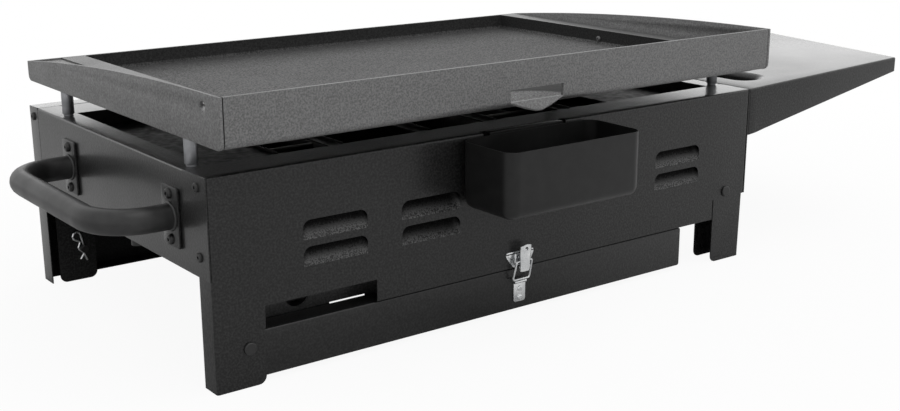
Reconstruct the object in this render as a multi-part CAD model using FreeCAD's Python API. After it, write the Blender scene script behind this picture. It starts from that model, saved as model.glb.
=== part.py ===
import FreeCAD, Part
import math
import os

# Outdoor gas griddle station, folded down on its four short legs.
# Built about the middle of the burner body: +X is the carrying-handle end, -X the side-shelf end,
# -Y the cook's side with the knobs, +Y the side with the grease cup and the leg latch, Z up from the ground.
# Every piece is moved at the end so that the origin is the middle of the whole station's footprint.
# All sizes are in millimetres.

# Driving sizes of the burner body
body_length = 718.0
body_depth = 432.0
body_height = 206.0
sheet = 1.2
clear = 0.4                # gap between pieces that move past each other
seat = 0.3                 # gap where a lift-off piece rests
run_clear = 0.06           # radial clearance of a pin in its bush

half_length = body_length / 2
half_depth = body_depth / 2
rim_top = body_height
rim_under = rim_top - sheet

# Sheet-metal body
panel_bottom = 54.0        # lower edge of the front and rear panels between the legs
leg_width = 53.0
leg_return = 24.0          # width of the leg's side wing
foot_radius = 8.0
end_bottom_handle = 109.5
end_bottom_shelf = 79.0
shelf_end_return_inset = 4.3
shelf_leg_narrower = 1.5   # the shelf-end leg starts this much nearer the middle
relief_width = 1.5
relief_top = 78.0
side_flange = 25.0
rear_flange = 45.0
front_flange = 25.6
front_seam = 1.6
control_band = 51.0
slot_depth = 26.8          # space between outer panel and inner wall, where the lower leg rails fold in
inner_wall_bottom = 110.0
hose_window_start = 179.8
hose_window_length = 125.0
hose_window_height = 22.5
guard_start = 183.0        # lowered part of the rear inner wall behind the hose window
guard_bottom = 55.0
guard_hole_x = 264.0
guard_hole_z = 70.0
guard_hole_radius = 12.0

# Louvres pressed inwards in the rear panel
louvre_length = 72.0
louvre_height = 19.0
louvre_depth = 9.0
louvre_corner = 8.5
louvre_pitch = 26.0
louvre_top = 150.5
louvre_centres = (225.5, 113.0, -239.0)

# Firebox and heat spreader
firebox_floor = 118.0
spreader_top = 190.0
spreader_lip = 14.0
spreader_window_rear = 112.0
spreader_window_front = -110.0
spreader_windows = ((226.0, 165.0), (149.0, 54.0), (38.0, -38.0), (-54.0, -149.0), (-165.0, -226.0))

# Burners and gas train
burner_spacing = 360.0
burner_arm_gap = 140.0
burner_radius = 19.0
burner_wall = 1.5
burner_height = 152.0
burner_arm_front = -91.0
burner_arm_rear = 91.0
venturi_radius = 12.0
burner_foot_width = 14.0
manifold_radius = 6.5
manifold_overrun = 26.0
valve_width = 22.0
valve_height = 24.0
stem_radius = 3.0
knob_radius = 22.0
knob_height = 20.0
knob_push = 3.0
knob_gap = knob_push + 0.6
supply_radius = 5.0
supply_bend = 10.0
supply_inset = 15.0        # pipe's middle behind the handle end's outer face
inlet_thread_radius = 7.9
inlet_thread_length = 12.0
inlet_hex = 17.0
inlet_hex_height = 7.0
inlet_top = 117.6
inlet_y = 30.0
igniter_height = 120.0
igniter_radius = 11.0
igniter_barrel = 22.0
button_radius = 8.0
button_proud = 9.0
electrode_radius = 2.2
electrode_length = 42.0

# Griddle plate
plate_length = 711.0
plate_depth = 462.0
plate_rear_overhang = 27.7 # rear wall stands this far behind the rear panel
plate_gap = 27.6           # ground clearance of the plate over the rim
plate_thick = 3.4
plate_rear_height = 47.4
plate_front_height = 21.8
plate_bend = 7.0
ledge_shelf_end = 29.5     # from the end shield's outer face to the cooking well
ledge_handle_end = 65.5
outer_ledge = 38.5         # outer, slightly lower part of the ledge at the handle end
outer_ledge_drop = 1.6
post_radius = 6.35
post_spigot = 5.0          # upper part, between the well's wall and the end shield
post_inset = 12.5
post_rear_y = 166.0
post_front_y = -129.0
stud_radius = 3.0
stud_length = 6.0
stud_play = 0.5
grease_slot_width = 70.0
grease_slot_height = 14.0
grease_slot_bottom = 1.0   # above the cooking surface
spout_reach = 4.3
spout_drop = 11.5
spout_shoulder = 18.0      # half width where the sides turn in towards the nose
spout_nose = 4.0
spout_sheet = 1.5
hood_hole_radius = 5.0
hood_hole_back = 31.5      # behind it, to the rear wall
hood_hole_drop = 12.5      # below the top of the end shield
stop_bolt_y = -12.0
stop_bolt_up = 7.0
stop_bolt_radius = 3.6

# Grease cup
cup_width = 179.0
cup_depth = 80.0
cup_height = 69.0
cup_top = 203.0
cup_centre = -10.0
cup_corner = 14.0
cup_bottom_radius = 11.0
cup_stand_off = 2.0
cup_wall = 1.0
hook_width = 99.0
hook_centre = -8.5
hook_drop = 11.0
notch_bottom = 199.0
notch_reach = 7.4

# Carrying handle
handle_span = 244.5
handle_middle = 24.8
handle_height = 157.0
handle_reach = 80.5
handle_radius = 12.5
handle_wall = 1.6
handle_bend = 46.0
handle_plate_width = 33.0
handle_plate_height = 58.0
handle_plate_thick = 3.0
handle_bolt_pitch = 44.0
bolt_head_radius = 5.2
bolt_head_height = 3.4
bolt_radius = 3.0
nut_radius = 5.0
nut_height = 4.0

# Folding legs
pin_radius = 4.0
pin_head_radius = 6.5
pin_head_height = 2.4
rail_height = 47.4
rail_wall = 1.6
rail_depth = 24.6
rail_end_radius = 16.0
low_pivot_x = 322.3
low_pivot_z = 38.0
low_rail_bottom = 6.6
low_rail_reach = 574.0
low_rail_heel = 18.0
high_pivot_x = -324.5
high_pivot_z = 86.0
high_rail_reach = 620.0
high_rail_heel = 18.0
cross_tube_radius = 11.0
cross_tube_wall = 1.5
cross_tube_back = 14.0     # from the foot end of a rail to its cross tube
brace_from_pivot = 120.0
bush_radius = 7.5
clip_wire = 1.1
clip_gap = 3.0
clip_below = 17.0
clip_above = 13.0
clip_loop = 4.6
clip_lean = 10.0           # degrees, loop end towards the handle end
pin_tail = 5.0

# Toggle latch
latch_x = -3.5
latch_base_width = 41.0
latch_base_bottom = 55.0
latch_base_top = 72.3
latch_base_foot = 21.0     # width of its lower edge, between the slanted sides
latch_base_side = 4.5      # height of its straight sides
latch_sheet = 1.2
latch_ear_inside = 5.5     # from the latch's middle to the inside of an ear
latch_ear_round = 2.8
latch_pivot_z = 55.8
latch_pivot_out = 6.0
latch_pin_radius = 1.5
latch_rivet_radius = 2.3
bail_hook_z = 62.5
bail_bar_z = 41.0
bail_wire = 1.25
bail_out = 7.2             # at the hooks
bail_bar_out = 2.6         # at the bar over the keeper
bail_half = 10.4
lever_width = 14.0
lever_top = 81.0
lever_bottom = 51.8
lever_face_out = 9.6
lever_hole_radius = 1.8
keeper_width = 16.0
keeper_top = 39.2
keeper_bottom = 14.8
keeper_lip = 3.6

# Side shelf
shelf_rear_length = 288.0
shelf_tip_length = 357.1   # at the corner where the outer edge turns
shelf_tip_y = -142.0
shelf_front_length = 296.0
shelf_rise = 11.0          # rise of the shelf top over its rear length
shelf_skirt_body = 56.0
shelf_skirt_outer = 18.0
shelf_flange_height = 52.0
grip_slot_inner = 35.1
grip_slot_width = 44.0
grip_slot_rear = 30.0
grip_slot_length = 120.0
grip_slot_lip = 11.0       # depth of the edge turned down round it
shelf_stud_y = 150.0
shelf_stud_rows = (192.0, 168.0)
shelf_stud_neck = 3.0
shelf_stud_head = 5.5
shelf_lift = 14.0

# Small screws
screw_head_radius = 4.6
screw_head_height = 2.2
screw_inset = 17.5         # from the rear face to the rear row of screws
screw_below_rim = 11.6
screw_pitch = 65.2


def box(x0, x1, y0, y1, z0, z1):
    return Part.makeBox(x1 - x0, y1 - y0, z1 - z0, FreeCAD.Vector(x0, y0, z0))


def rod(radius, start, end):
    a = FreeCAD.Vector(*start)
    b = FreeCAD.Vector(*end)
    return Part.makeCylinder(radius, (b - a).Length, a, b - a)


def tube(outer, inner, start, end):
    return rod(outer, start, end).cut(rod(inner, start, end))


def fuse(*shapes):
    shape = shapes[0]
    if len(shapes) > 1:
        shape = shape.multiFuse(list(shapes[1:]))
    return shape.removeSplitter()


def flat(points):
    corners = [FreeCAD.Vector(*p) for p in points]
    return Part.Face(Part.makePolygon(corners + [corners[0]]))


def prism(points, along):
    return flat(points).extrude(FreeCAD.Vector(*along))


def mirror_x(shape):
    return shape.mirror(FreeCAD.Vector(0, 0, 0), FreeCAD.Vector(1, 0, 0))


def mirror_y(shape):
    return shape.mirror(FreeCAD.Vector(0, 0, 0), FreeCAD.Vector(0, 1, 0))


def round_edges(shape, radius, test):
    edges = [e for e in shape.Edges if test(e)]
    return shape.makeFillet(radius, edges) if edges else shape


def along_y(edge):
    ends = edge.Vertexes
    return (len(ends) == 2 and abs(ends[0].X - ends[1].X) < 1e-6
            and abs(ends[0].Z - ends[1].Z) < 1e-6)


def along_z(edge):
    ends = edge.Vertexes
    return (len(ends) == 2 and abs(ends[0].X - ends[1].X) < 1e-6
            and abs(ends[0].Y - ends[1].Y) < 1e-6)


def swept_tube(points, radius, bend, inner=0.0):
    # straight runs joined by tangent arcs of one radius
    corners = [FreeCAD.Vector(*p) for p in points]
    edges = []
    last = corners[0]
    for before, corner, after in zip(corners, corners[1:], corners[2:]):
        a = (before - corner).normalize()
        b = (after - corner).normalize()
        half = a.getAngle(b) / 2
        cut = bend / math.tan(half)
        start = corner + a * cut
        end = corner + b * cut
        centre = corner + (a + b).normalize() * (bend / math.sin(half))
        middle = centre + (corner - centre).normalize() * bend
        edges.append(Part.LineSegment(last, start).toShape())
        edges.append(Part.Arc(start, middle, end).toShape())
        last = end
    edges.append(Part.LineSegment(last, corners[-1]).toShape())
    path = Part.Wire(edges)
    way = corners[1] - corners[0]
    section = Part.Wire([Part.makeCircle(radius, corners[0], way)])
    shape = path.makePipeShell([section], True, False)
    if inner:
        hole = Part.Wire([Part.makeCircle(inner, corners[0], way)])
        shape = shape.cut(path.makePipeShell([hole], True, False))
    return shape


# Places that several pieces share
outer_rear = half_depth
panel_inside = half_depth - sheet
slot_inside = panel_inside - slot_depth
inner_face = slot_inside - sheet          # body-side face of the inner walls
opening_x = half_length - side_flange
opening_rear = half_depth - rear_flange
opening_front = -inner_face - sheet + control_band
leg_inner_x = half_length - leg_width
low_rail_outer = panel_inside - clear
low_rail_inner = low_rail_outer - rail_depth
high_rail_outer = inner_face - clear
high_rail_inner = high_rail_outer - rail_depth
low_pin = (low_pivot_x, low_pivot_z)
high_pin = (high_pivot_x, high_pivot_z)
handle_ys = (handle_middle - handle_span / 2, handle_middle + handle_span / 2)
burner_xs = (burner_spacing / 2, -burner_spacing / 2)
plate_bottom = rim_top + plate_gap
plate_rear = half_depth + plate_rear_overhang
plate_front = plate_rear - plate_depth
plate_half = plate_length / 2
plate_floor = plate_bottom + plate_thick
plate_rear_top = plate_bottom + plate_rear_height
plate_front_top = plate_bottom + plate_front_height
ledge_under = plate_front_top - outer_ledge_drop - plate_thick
post_x = half_length - post_inset
cup_back = half_depth + cup_stand_off
cup_front = cup_back + cup_depth
gas_y = -(slot_inside + slot_depth / 2)
valve_rear = -slot_inside - 3.0           # back of the valves, where the venturis begin
valve_front = gas_y - manifold_radius - 2.0
supply_x = half_length - supply_inset
corner_screw_y = half_depth - screw_inset
corner_screw_rows = (rim_top - screw_below_rim, rim_top - screw_below_rim - screw_pitch)
front_screw = (-(half_depth - front_flange / 2 - 0.2), rim_top - screw_below_rim + 0.6)


def panel_outline(y, thick, bottom, legs):
    # a sheet in the XZ plane with a foot at each end; legs gives (x inner, x outer) per foot
    body = box(legs[1][1], legs[0][1], y, y + thick, bottom, rim_top)
    for inner, outer in legs:
        lo, hi = min(inner, outer), max(inner, outer)
        foot = box(lo, hi, y, y + thick, 0, bottom + 1)
        foot = round_edges(foot, foot_radius, lambda e: along_y(e) and abs(e.Vertexes[0].Z) < 1e-6
                           and abs(e.Vertexes[0].X - inner) < 1e-6)
        body = body.fuse(foot)
    return body.removeSplitter()


def louvre(centre, top):
    # returns the hole in the sheet and the sloping flap behind it
    x0, x1 = centre - louvre_length / 2, centre + louvre_length / 2
    z0 = top - louvre_height

    def wedge(grow, back):
        block = box(x0 - grow, x1 + grow, outer_rear - louvre_depth - back, outer_rear, z0 - grow, top)
        block = round_edges(block, louvre_corner + grow, lambda e: along_y(e)
                            and abs(e.Vertexes[0].Z - top) < 1e-6)
        start, deep, low = x0 - louvre_height, outer_rear - 6 * louvre_depth, z0 - louvre_height
        under = prism([(start, outer_rear, z0 - back), (start, outer_rear - louvre_depth - back, top),
                       (start, deep, top), (start, deep, low), (start, outer_rear, low)],
                      (louvre_length + 2 * louvre_height, 0, 0))
        return block.cut(under)
    hollow = wedge(0, 0)
    flap = wedge(sheet, sheet).cut(hollow)
    return hollow, flap


def rear_panel():
    out_handle = half_length - sheet
    out_shelf = -(half_length - sheet)
    slit = -leg_inner_x + shelf_leg_narrower
    legs = ((leg_inner_x, out_handle), (slit, out_shelf))
    skin = panel_outline(panel_inside, sheet, panel_bottom, legs)
    flange = box(-half_length + sheet, half_length - sheet, opening_rear, outer_rear, rim_under, rim_top)
    wing_handle = box(out_handle - sheet, out_handle, panel_inside - leg_return + sheet, outer_rear,
                      0, rim_top)
    wing_shelf = box(out_shelf, out_shelf + sheet, panel_inside - leg_return + sheet, outer_rear,
                     end_bottom_shelf, rim_top)
    low_x = out_shelf + shelf_end_return_inset
    wing_low = box(low_x, low_x + sheet, panel_inside - leg_return + sheet, outer_rear, 0, end_bottom_shelf)
    step = box(out_shelf, low_x + sheet, panel_inside - leg_return + sheet, outer_rear,
               end_bottom_shelf, end_bottom_shelf + sheet)
    skin = skin.cut(box(out_shelf - 1, low_x, panel_inside - 1, outer_rear + 1, -1, end_bottom_shelf))
    relief = box(slit, slit + relief_width, panel_inside - 1, outer_rear + 1, panel_bottom - 1, relief_top)
    shape = skin.multiFuse([flange, wing_handle, wing_shelf, wing_low, step])
    shape = shape.cut(relief)
    # window for the gas hose, closed below by the folded leg rail
    shape = shape.cut(box(hose_window_start, hose_window_start + hose_window_length, panel_inside - 1,
                          outer_rear + 1, panel_bottom - 1, panel_bottom + hose_window_height))
    # notch for the grease cup's hook
    hook_half = hook_width / 2 + 6.5
    shape = shape.cut(box(hook_centre - hook_half, hook_centre + hook_half, outer_rear - notch_reach,
                          outer_rear + 1, notch_bottom, rim_top + 1))
    for centre in louvre_centres:
        for row in range(2):
            hollow, flap = louvre(centre, louvre_top - row * louvre_pitch)
            shape = shape.cut(hollow).fuse(flap)
    for x, z in (low_pin, high_pin):
        shape = shape.cut(rod(pin_radius + run_clear, (x, slot_inside, z), (x, outer_rear + 1, z)))
    for sx in (1, -1):
        for y in (post_rear_y, post_front_y):
            shape = shape.cut(rod(stud_radius + stud_play, (sx * post_x, y, rim_under - 1),
                                  (sx * post_x, y, rim_top + 1)))
    return shape.removeSplitter()


def front_panel():
    legs = ((leg_inner_x, half_length), (-leg_inner_x, -half_length))
    skin = panel_outline(-half_depth, sheet, panel_bottom, legs)
    flange = box(-half_length, half_length, -half_depth, -half_depth + front_flange, rim_under, rim_top)
    shape = skin.fuse(flange)
    for sx in (1, -1):
        x = sx * half_length
        wing = box(min(x, x - sx * sheet), max(x, x - sx * sheet), -half_depth,
                   -half_depth + front_flange, 0, rim_top)
        shape = shape.fuse(wing)
    for sx, (x, z) in ((1, low_pin), (1, high_pin)):
        shape = shape.cut(rod(pin_radius + run_clear, (x, -half_depth - 1, z), (x, -slot_inside, z)))
    for x in burner_xs:
        shape = shape.cut(rod(stem_radius + 2.0, (x, -half_depth - 1, burner_height),
                              (x, -half_depth + 2, burner_height)))
    shape = shape.cut(rod(igniter_radius - 1.5, (0, -half_depth - 1, igniter_height),
                          (0, -half_depth + 2, igniter_height)))
    return shape.removeSplitter()


def end_panel(sx, bottom):
    y0 = -half_depth + front_flange + front_seam / 2
    skin = box(half_length - sheet, half_length, y0, half_depth, bottom, rim_top)
    tab = box(half_length - 2 * sheet, half_length - sheet, -half_depth + 4.0, y0 + 12.0,
              bottom + 6.0, rim_under - 0.2)
    flange = box(opening_x, half_length, y0, opening_rear, rim_under, rim_top)
    shape = fuse(skin, tab, flange)
    for y in (post_rear_y, post_front_y):
        shape = shape.cut(rod(stud_radius + stud_play, (post_x, y, rim_under - 1), (post_x, y, rim_top + 1)))
    if sx > 0:
        for y in handle_ys:
            for side in (1, -1):
                z = handle_height + side * handle_bolt_pitch / 2
                shape = shape.cut(rod(bolt_radius + 0.2, (half_length - 3, y, z), (half_length + 3, y, z)))
        return shape
    return mirror_x(shape)


def inner_wall(rear):
    # wall behind the slot that takes the lower leg rails, with a tab down to each foot
    top = rim_under if rear else rim_top
    reach = half_length - 2 * sheet - shelf_end_return_inset - 2.0
    wide = opening_x + sheet
    shape = box(-wide, wide, inner_face, slot_inside, inner_wall_bottom, top)
    if rear:
        guard = box(guard_start, leg_inner_x, inner_face, slot_inside, guard_bottom, inner_wall_bottom)
        shape = shape.fuse(guard.cut(rod(guard_hole_radius, (guard_hole_x, inner_face - 1, guard_hole_z),
                                         (guard_hole_x, slot_inside + 1, guard_hole_z))))
    for sx in (1, -1):
        x0, x1 = sorted((sx * leg_inner_x, sx * reach))
        foot = box(x0, x1, inner_face, slot_inside, 0, inner_wall_bottom)
        foot = round_edges(foot, foot_radius, lambda e: along_y(e) and abs(e.Vertexes[0].Z) < 1e-6)
        shape = shape.fuse(foot)
    if not rear:
        shape = shape.fuse(box(-opening_x, opening_x, inner_face - control_band + sheet, slot_inside,
                               rim_under, rim_top))
        for x0, x1 in ((-reach - 1, -opening_x), (opening_x, reach + 1)):
            shape = shape.cut(box(x0, x1, inner_face - 1, slot_inside + 1, rim_under - 0.2, rim_top + 1))
    for x, z in (low_pin, high_pin):
        shape = shape.cut(rod(pin_radius + run_clear, (x, inner_face - 1, z), (x, slot_inside + 1, z)))
    if not rear:
        shape = mirror_y(shape)
        for x in burner_xs:
            shape = shape.cut(rod(venturi_radius + 1.5, (x, -slot_inside - 1, burner_height),
                                  (x, -inner_face + 1, burner_height)))
    return shape.removeSplitter()


def firebox():
    outer = box(-opening_x - sheet, opening_x + sheet, opening_front - sheet, opening_rear + sheet,
                firebox_floor, rim_under)
    inner = box(-opening_x, opening_x, opening_front, opening_rear, firebox_floor + sheet, rim_under + 1)
    shape = outer.cut(inner)
    for x in burner_xs:
        shape = shape.cut(rod(venturi_radius + 1.5, (x, opening_front - 5, burner_height),
                              (x, opening_front + 5, burner_height)))
    return shape


def heat_spreader():
    play = seat
    top = box(-opening_x + play, opening_x - play, opening_front + play, opening_rear - play,
              spreader_top - sheet, spreader_top)
    for x0, x1 in spreader_windows:
        top = top.cut(box(min(x0, x1), max(x0, x1), spreader_window_front, spreader_window_rear,
                          spreader_top - sheet - 1, spreader_top + 1))
    shape = top
    for x0, x1 in spreader_windows:
        hi = max(x0, x1)
        shape = shape.fuse(box(hi, hi + sheet, spreader_window_front, spreader_window_rear,
                               spreader_top - sheet, spreader_top + 2.0))
    for sx in (1, -1):
        x0, x1 = sorted((sx * opening_x, sx * (opening_x - sheet)))
        shape = shape.fuse(box(x0, x1, opening_front + play, opening_rear - play,
                               spreader_top - spreader_lip, spreader_top))
    return shape.removeSplitter()


def burner(x):
    # two arms along Y joined by a cross tube, fed by a venturi from the front
    arms = (x - burner_arm_gap / 2, x + burner_arm_gap / 2)
    middle = (burner_arm_front + burner_arm_rear) / 2

    def body(less):
        r = burner_radius - less
        parts = []
        for ax in arms:
            parts.append(rod(r, (ax, burner_arm_front, burner_height), (ax, burner_arm_rear, burner_height)))
            for y in (burner_arm_front, burner_arm_rear):
                parts.append(Part.makeSphere(r, FreeCAD.Vector(ax, y, burner_height)))
        parts.append(rod(r - 3.0, (arms[0], middle, burner_height), (arms[1], middle, burner_height)))
        parts.append(rod(venturi_radius - less, (x, valve_rear, burner_height),
                         (x, middle, burner_height)))
        return parts[0].multiFuse(parts[1:])
    shape = body(0).cut(body(burner_wall))
    for ax in arms:
        for y in (burner_arm_front, burner_arm_rear):
            shape = shape.fuse(box(ax - burner_foot_width / 2, ax + burner_foot_width / 2, y - 1, y + 1,
                                   firebox_floor + sheet, burner_height - burner_radius + 2.0)
                               .cut(rod(burner_radius - burner_wall, (ax, y - 2, burner_height),
                                        (ax, y + 2, burner_height))))
    return shape.removeSplitter()


def gas_manifold():
    end = burner_spacing / 2 + manifold_overrun
    pipe = rod(manifold_radius, (-end, gas_y, burner_height), (end, gas_y, burner_height))
    return pipe


def valve(x):
    body = box(x - valve_width / 2, x + valve_width / 2, valve_front, valve_rear,
               burner_height - valve_height / 2, burner_height + valve_height / 2)
    body = body.cut(rod(manifold_radius, (x - valve_width, gas_y, burner_height),
                        (x + valve_width, gas_y, burner_height)))
    nozzle = rod(venturi_radius - burner_wall - 4.0, (x, valve_rear - 1.0, burner_height),
                 (x, valve_rear + 5.0, burner_height))
    return fuse(body, nozzle)


def valve_neck(x):
    # collar that guides the stem, in front of the valve body
    return tube(stem_radius + 1.5, stem_radius + run_clear, (x, -half_depth + sheet + 0.2, burner_height),
                (x, valve_front, burner_height))


def valve_stem(x):
    inner = valve_front - knob_push - clear
    return rod(stem_radius, (x, -half_depth - knob_gap - knob_height + 5.0, burner_height),
               (x, inner, burner_height))


def knob(x):
    base_y = -half_depth - knob_gap
    front_y = base_y - knob_height
    skirt = Part.makeCone(knob_radius, knob_radius - 3.0, knob_height * 0.45,
                          FreeCAD.Vector(x, base_y, burner_height), FreeCAD.Vector(0, -1, 0))
    skirt = round_edges(skirt, 1.5, lambda e: abs(e.BoundBox.YMin - (base_y - knob_height * 0.45)) < 1e-3
                        and e.BoundBox.YLength < 1e-3)
    grip = box(x - 6.5, x + 6.5, front_y, base_y - knob_height * 0.45 + 1.0,
               burner_height - knob_radius + 3.5, burner_height + knob_radius - 3.5)
    grip = round_edges(grip, 5.0, lambda e: along_y(e))
    grip = round_edges(grip, 1.6, lambda e: abs(e.BoundBox.YMax - front_y) < 1e-3)
    shape = skirt.fuse(grip)
    bore = rod(stem_radius + run_clear, (x, base_y + 1, burner_height),
               (x, front_y + 5.0 - 0.4, burner_height))
    return shape.cut(bore).removeSplitter()


def supply_pipe():
    # from the manifold's end round the handle-end gap to the downward inlet
    start = burner_spacing / 2 + manifold_overrun
    return swept_tube([(start, gas_y, burner_height), (supply_x, gas_y, burner_height),
                       (supply_x, inlet_y, burner_height), (supply_x, inlet_y, inlet_top)],
                      supply_radius, supply_bend)


def inlet_fitting():
    top = inlet_top
    hexagon = []
    for i in range(6):
        a = math.radians(60 * i)
        r = inlet_hex / 2 / math.cos(math.radians(30))
        hexagon.append((supply_x + r * math.cos(a), inlet_y + r * math.sin(a), top))
    nut = prism(hexagon, (0, 0, -inlet_hex_height))
    thread = rod(inlet_thread_radius, (supply_x, inlet_y, top - inlet_hex_height),
                 (supply_x, inlet_y, top - inlet_hex_height - inlet_thread_length))
    bore = rod(3.2, (supply_x, inlet_y, top - inlet_hex_height - inlet_thread_length - 1),
               (supply_x, inlet_y, top - 4.0))
    return fuse(nut, thread).cut(bore)


def igniter_housing():
    y0 = -half_depth + sheet
    shape = tube(igniter_radius, button_radius + 0.4, (0, y0, igniter_height),
                 (0, y0 + igniter_barrel, igniter_height))
    collar = tube(igniter_radius + 2.5, button_radius + 0.4, (0, -half_depth - 2.0, igniter_height),
                  (0, -half_depth, igniter_height))
    neck = tube(igniter_radius - 1.6, button_radius + 0.4, (0, -half_depth - 0.5, igniter_height),
                (0, y0 + 0.5, igniter_height))
    back = rod(igniter_radius, (0, y0 + igniter_barrel - 2.0, igniter_height),
               (0, y0 + igniter_barrel, igniter_height))
    return fuse(shape, collar, neck, back)


def igniter_button():
    y_front = -half_depth - button_proud
    shape = rod(button_radius, (0, y_front, igniter_height), (0, -half_depth + sheet + 10.0, igniter_height))
    return round_edges(shape, 1.6, lambda e: abs(e.BoundBox.YMax - y_front) < 1e-3)


def electrode(x):
    # spark electrode beside the inner arm of a burner, held by a clip on the firebox floor
    sx = -1 if x > 0 else 1
    ex = x + sx * (burner_arm_gap / 2 - burner_radius - 6.0) * -1
    ey = burner_arm_rear - 30.0
    stick = rod(electrode_radius, (ex, ey, burner_height - electrode_length / 2 + 4.0),
                (ex, ey, burner_height + electrode_length / 2 - 8.0))
    base = box(ex - 6.0, ex + 6.0, ey - 5.0, ey + 5.0, firebox_floor + sheet,
               burner_height - electrode_length / 2 + 4.5)
    return fuse(stick, base)


def handle_tube():
    x0 = half_length + handle_plate_thick
    x1 = half_length + handle_reach - handle_radius
    y0, y1 = handle_ys
    return swept_tube([(x0, y0, handle_height), (x1, y0, handle_height), (x1, y1, handle_height),
                       (x0, y1, handle_height)], handle_radius, handle_bend, handle_radius - handle_wall)


def handle_plate(y):
    plate = box(half_length, half_length + handle_plate_thick, y - handle_plate_width / 2,
                y + handle_plate_width / 2, handle_height - handle_plate_height / 2,
                handle_height + handle_plate_height / 2)
    for side in (1, -1):
        z = handle_height + side * handle_bolt_pitch / 2
        plate = plate.cut(rod(bolt_radius + 0.2, (half_length - 1, y, z), (half_length + 5, y, z)))
    return plate


def handle_bolt(y, z):
    head_x = half_length + handle_plate_thick
    head = rod(bolt_head_radius, (head_x, y, z), (head_x + bolt_head_height, y, z))
    head = round_edges(head, 1.6, lambda e: abs(e.BoundBox.XMin - head_x - bolt_head_height) < 1e-3)
    head = head.cut(rod(1.8, (head_x + bolt_head_height - 1.8, y, z), (head_x + bolt_head_height + 1, y, z)))
    shank = rod(bolt_radius, (half_length - sheet - nut_height - 1.0, y, z), (head_x + 0.5, y, z))
    nut = rod(nut_radius, (half_length - sheet - nut_height, y, z), (half_length - sheet, y, z))
    return fuse(head, shank, nut)


def side_screw(sx, y, z, outward=0.0):
    x = sx * (half_length + outward)
    head = rod(screw_head_radius, (x, y, z), (x + sx * screw_head_height, y, z))
    top = x + sx * screw_head_height
    head = round_edges(head, 1.0, lambda e: e.BoundBox.XLength < 1e-3 and abs(e.BoundBox.XMin - top) < 1e-3)
    return head.cut(rod(1.6, (top - sx * 1.2, y, z), (top + sx, y, z)))


def leg_rail(pin, way, reach, heel, bottom, outer, inner):
    # channel rail on the +Y side: web outside, flanges turned inwards, bush at the pivot
    px, pz = pin
    tip = px + way * reach
    butt = px - way * heel
    x0, x1 = sorted((tip, butt))

    def blank(less, y0, y1):
        shape = box(x0 + less, x1 - less, y0, y1, bottom + less, bottom + rail_height - less)
        shape = round_edges(shape, rail_end_radius - less, lambda e: along_y(e)
                            and abs(e.Vertexes[0].X - (butt + way * less)) < 1e-6)
        radius = rail_end_radius * 0.6 - less
        return round_edges(shape, radius, lambda e: along_y(e)
                           and abs(e.Vertexes[0].X - (tip - way * less)) < 1e-6)
    shape = blank(0, inner, outer).cut(blank(rail_wall, inner - 1, outer - rail_wall))
    shape = shape.fuse(rod(bush_radius, (px, inner, pz), (px, outer, pz)))
    return shape.cut(rod(pin_radius + run_clear, (px, inner - 1, pz), (px, outer + 1, pz)))


def leg_frame(pin, way, reach, heel, bottom, outer, inner, tubes):
    rail = leg_rail(pin, way, reach, heel, bottom, outer, inner)
    parts = [rail, mirror_y(rail)]
    web = outer - rail_wall
    for x, z in tubes:
        parts.append(tube(cross_tube_radius, cross_tube_radius - cross_tube_wall, (x, -web, z), (x, web, z)))
    shape = parts[0].multiFuse(parts[1:])
    return shape.removeSplitter()


low_tube_x = low_pivot_x - low_rail_reach + cross_tube_back
low_tube_z = low_rail_bottom + rail_height / 2
high_rail_bottom = high_pivot_z - rail_height / 2
high_tube_x = high_pivot_x + high_rail_reach - cross_tube_back
brace_x = high_pivot_x + brace_from_pivot


def low_leg_frame():
    return leg_frame(low_pin, -1, low_rail_reach, low_rail_heel, low_rail_bottom, low_rail_outer,
                     low_rail_inner, ((low_tube_x, low_tube_z),))


def high_leg_frame():
    return leg_frame(high_pin, 1, high_rail_reach, high_rail_heel, high_rail_bottom, high_rail_outer,
                     high_rail_inner, ((high_tube_x, high_pivot_z), (brace_x, high_pivot_z)))


def pivot_pin(pin, inside):
    x, z = pin
    tail = inside - clip_gap - 2 * clip_wire - pin_tail
    head = rod(pin_head_radius, (x, outer_rear, z), (x, outer_rear + pin_head_height, z))
    head = round_edges(head, 1.4, lambda e: abs(e.BoundBox.YMin - outer_rear - pin_head_height) < 1e-3)
    shape = fuse(head, rod(pin_radius, (x, tail, z), (x, outer_rear + 0.5, z)))
    y = inside - clip_gap
    hole = rod(clip_wire + 0.15, (x, y, z - 8), (x, y, z + 8))
    hole.rotate(FreeCAD.Vector(x, y, z), FreeCAD.Vector(0, 1, 0), clip_lean)
    return shape.cut(hole)


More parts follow.
